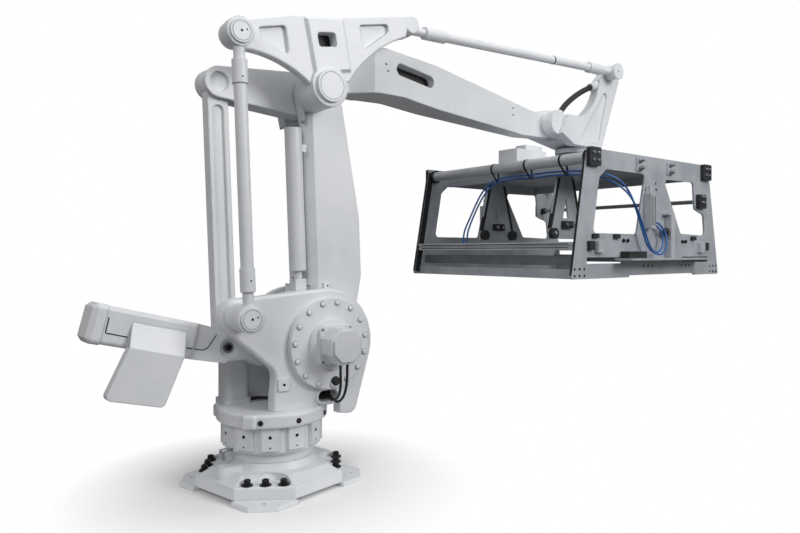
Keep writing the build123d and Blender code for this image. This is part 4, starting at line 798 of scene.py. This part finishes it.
def strap(circles, y):
    """A strap round several circles: for each direction it runs over the circle that reaches furthest."""
    angle = np.linspace(0, 2 * math.pi, STRAP_POINTS, endpoint=False)
    out = np.column_stack([np.cos(angle), np.sin(angle)])
    centre, radius = np.array(circles, float)[:, :2], np.array(circles, float)[:, 2]
    first = (out @ centre.T + radius).argmax(axis=1)
    inner = centre[first] + radius[first, None] * out
    lift = np.column_stack([out[:, 0], np.zeros(STRAP_POINTS), out[:, 1]])
    path = np.column_stack([inner[:, 0], np.full(STRAP_POINTS, y), inner[:, 1]])
    return band(path, FAR, lift, STRAP_WIDE, STRAP_THICK, closed=True)


straps = [strap([(*LEFT_TUBE, TUBE_REACH), (*left, HOSE_REACH), (*right, HOSE_REACH)], y)
          for y, left, right in STRAPPED]
fitting("hose_straps", straps, black_rubber, "gripper")

# %% [markdown]
# ## Rails and stops
# The slots of the drawn rails show as dark lines along their faces, painted shade of the recess. Stops,
# blocks and guide wheels are screwed to both end plates, so one function sets a shape on both at once,
# and dark ribs run up the lifting cylinders.

# %% Rail slots and stops
SLOT_HEIGHTS, SLOT_HALF, SLOT_WIDE, SLOT_PROUD = (1160, 1181), 640, 5, 0.8
SILL, BLOCK_ROW, SPACER_ROW, SCREW_ROW = 1228, 1172, 1165, 1204
WHEEL_PLACE = (2415, 1262)
WHEEL_PROFILE = [(0, 44), (9, 44), (9, 40), (25, 40), (28, 37), (28, 23), (25, 20), (9, 20), (9, 0), (0, 0)]


def on_plates(grid, columns, row):
    """Copies of a grid on the outer faces of both end plates, in one row."""
    places = side_places([(x, row) for x in columns])
    return [copy for side, out in SIDES for copy in set_on(grid, "end_plate_" + side, places, out)]


# Each rail slot is a dark band of painted shade that stands for the shadow in the recess.
slots = []
for height in SLOT_HEIGHTS:
    path = touch("profile_rails", [(0, y, height) for y in (-SLOT_HALF, SLOT_HALF)], -ALONG)
    slots.append(band(path, UP, -ALONG, SLOT_WIDE, SLOT_PROUD))
fitting("rail_slot_shade", slots, black_oxide_and_recess_shade, "gripper")
stops = on_plates(brick(width=52, height=26, thick=16), columns=(1700, 1910, 2800), row=SILL)
fitting("sill_stops", stops, black_moulding, "gripper")
for side, out in SIDES:
    wheel = set_on(turned(WHEEL_PROFILE), "end_plate_" + side, side_places([WHEEL_PLACE]), out)
    fitting("guide_wheel_" + side, wheel, black_moulding, "gripper")
blocks = on_plates(brick(width=44, height=54, thick=20), columns=(1655, 2965), row=BLOCK_ROW)
fitting("corner_blocks", blocks, black_moulding, "gripper")
spacers = on_plates(brick(width=58, height=66, thick=24), columns=(1735, 2900), row=SPACER_ROW)
fitting("corner_plates", spacers, drawn_aluminium, "gripper")
screws = on_plates(screw(radius=11, height=10), columns=(1986, 2030, 2666, 2706), row=SCREW_ROW)
fitting("plate_screws", screws, black_oxide_and_recess_shade, "gripper")

# %% Cylinder ribs
RIB_COLUMNS, RIB_HEIGHTS, RIB_WIDE, RIB_PROUD = (2222, 2238, 2254), (1300, 1480), 4, 1

ribs = []
for side, out in SIDES:
    for x in RIB_COLUMNS:
        path = touch("lift_cylinders", [(x, 0, z) for z in RIB_HEIGHTS], out)
        ribs.append(band(path, ALONG, out, RIB_WIDE, RIB_PROUD))
fitting("cylinder_ribs", ribs, black_oxide_and_recess_shade, "gripper")

# %% [markdown]
# ## Floor and backdrop
# A pale floor takes the soft shadow and fades into a white backdrop away from the machine. A curved
# backdrop would also do this. A flat floor whose shader turns into light with distance has no edge that
# could show.

# %% Floor and backdrop
FLOOR_REACH, FADE_SPAN, FLOOR_SPECK, FLOOR_SHADES = 40.0, (0.45, 1.0), 3.0, (0.93, 0.96)
FLOOR_GLOW, SKY_LIGHT = 0.12, 0.27
WHITE = linear("#FFFFFF")


def camera_share(tree, other):
    """A strength of 1 for rays from the camera and a lower one for all other rays."""
    ray = add(tree, "LightPath").outputs["Is Camera Ray"]
    return add(tree, "MapRange", {"Value": ray}, {"To Min": other, "To Max": 1.0}).outputs["Result"]


floor_mesh = bpy.data.meshes.new("floor")
floor_corners = np.array([(-1, -1, 0), (1, -1, 0), (1, 1, 0), (-1, 1, 0)]) * FLOOR_REACH
floor_mesh.from_pydata(floor_corners.tolist(), [], [(0, 1, 2, 3)])
floor = bpy.data.objects.new("floor", floor_mesh)
bpy.context.scene.collection.objects.link(floor)
floor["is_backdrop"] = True
# Matte pale paint on a concrete floor: no shine, with faint clouds.
floor_finish = bpy.data.materials.new("floor_pale_matte")
floor_finish.use_nodes = True
tree = floor_finish.node_tree
tree.nodes.clear()
where = add(tree, "TexCoord").outputs["Object"]
away = add(tree, "VectorMath", {0: where}, operation="LENGTH")
fade = add(tree, "MapRange", {"Value": away.outputs["Value"]}, span(FADE_SPAN))
speck = add(tree, "TexNoise", {"Vector": where}, {"Scale": FLOOR_SPECK})
shade = add(tree, "MapRange", {"Value": speck.outputs["Fac"]},
            {"To Min": FLOOR_SHADES[0], "To Max": FLOOR_SHADES[1]})
pale = add(tree, "BsdfDiffuse", {"Color": shade.outputs["Result"]})
glow = add(tree, "Emission", {"Strength": camera_share(tree, FLOOR_GLOW)}, {"Color": WHITE})
both = add(tree, "MixShader",
           {0: fade.outputs["Result"], 1: pale.outputs["BSDF"], 2: glow.outputs["Emission"]})
add(tree, "OutputMaterial", {"Surface": both.outputs["Shader"]})
floor_mesh.materials.append(floor_finish)

world = bpy.data.worlds.new("studio")
bpy.context.scene.world = world
world.use_nodes = True
tree = world.node_tree
tree.nodes.clear()
sky = add(tree, "Background", {"Strength": camera_share(tree, SKY_LIGHT)}, {"Color": WHITE})
add(tree, "OutputWorld", {"Surface": sky.outputs["Background"]})
print("floor", 2 * FLOOR_REACH, "m wide")

# %% [markdown]
# ## Light
# Large soft lights stand for a studio's lamps: a key from the right front, a weaker fill from the left
# and a wide one above. Small lamps would give hard shadows. Wide area lamps give the soft ones that white
# paint needs.

# %% Lights
def soft_light(name, place, target, size, power):
    """A square area light at a place, aimed at a point."""
    lamp = bpy.data.lights.new(name, "AREA")
    lamp.shape = "SQUARE"
    lamp.size = size
    lamp.energy = power
    holder = bpy.data.objects.new(name, lamp)
    bpy.context.scene.collection.objects.link(holder)
    holder.location = place
    holder.rotation_euler = (Vector(target) - Vector(place)).to_track_quat("-Z", "Y").to_euler()
    holder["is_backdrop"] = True
    print(name, power, "W")


soft_light("key_right", place=(3.4, -6.2, 4.2), target=(1.2, 0, 1.9), size=3.0, power=250)
soft_light("fill_left", place=(-5.0, -3.6, 5.0), target=(0.4, 0, 1.6), size=3.0, power=125)
soft_light("top_wide", place=(1.0, -0.5, 6.0), target=(1.0, 0, 0.8), size=5.0, power=120)

# %% Sizes
low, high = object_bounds()
print("visual box", list(low), list(high))
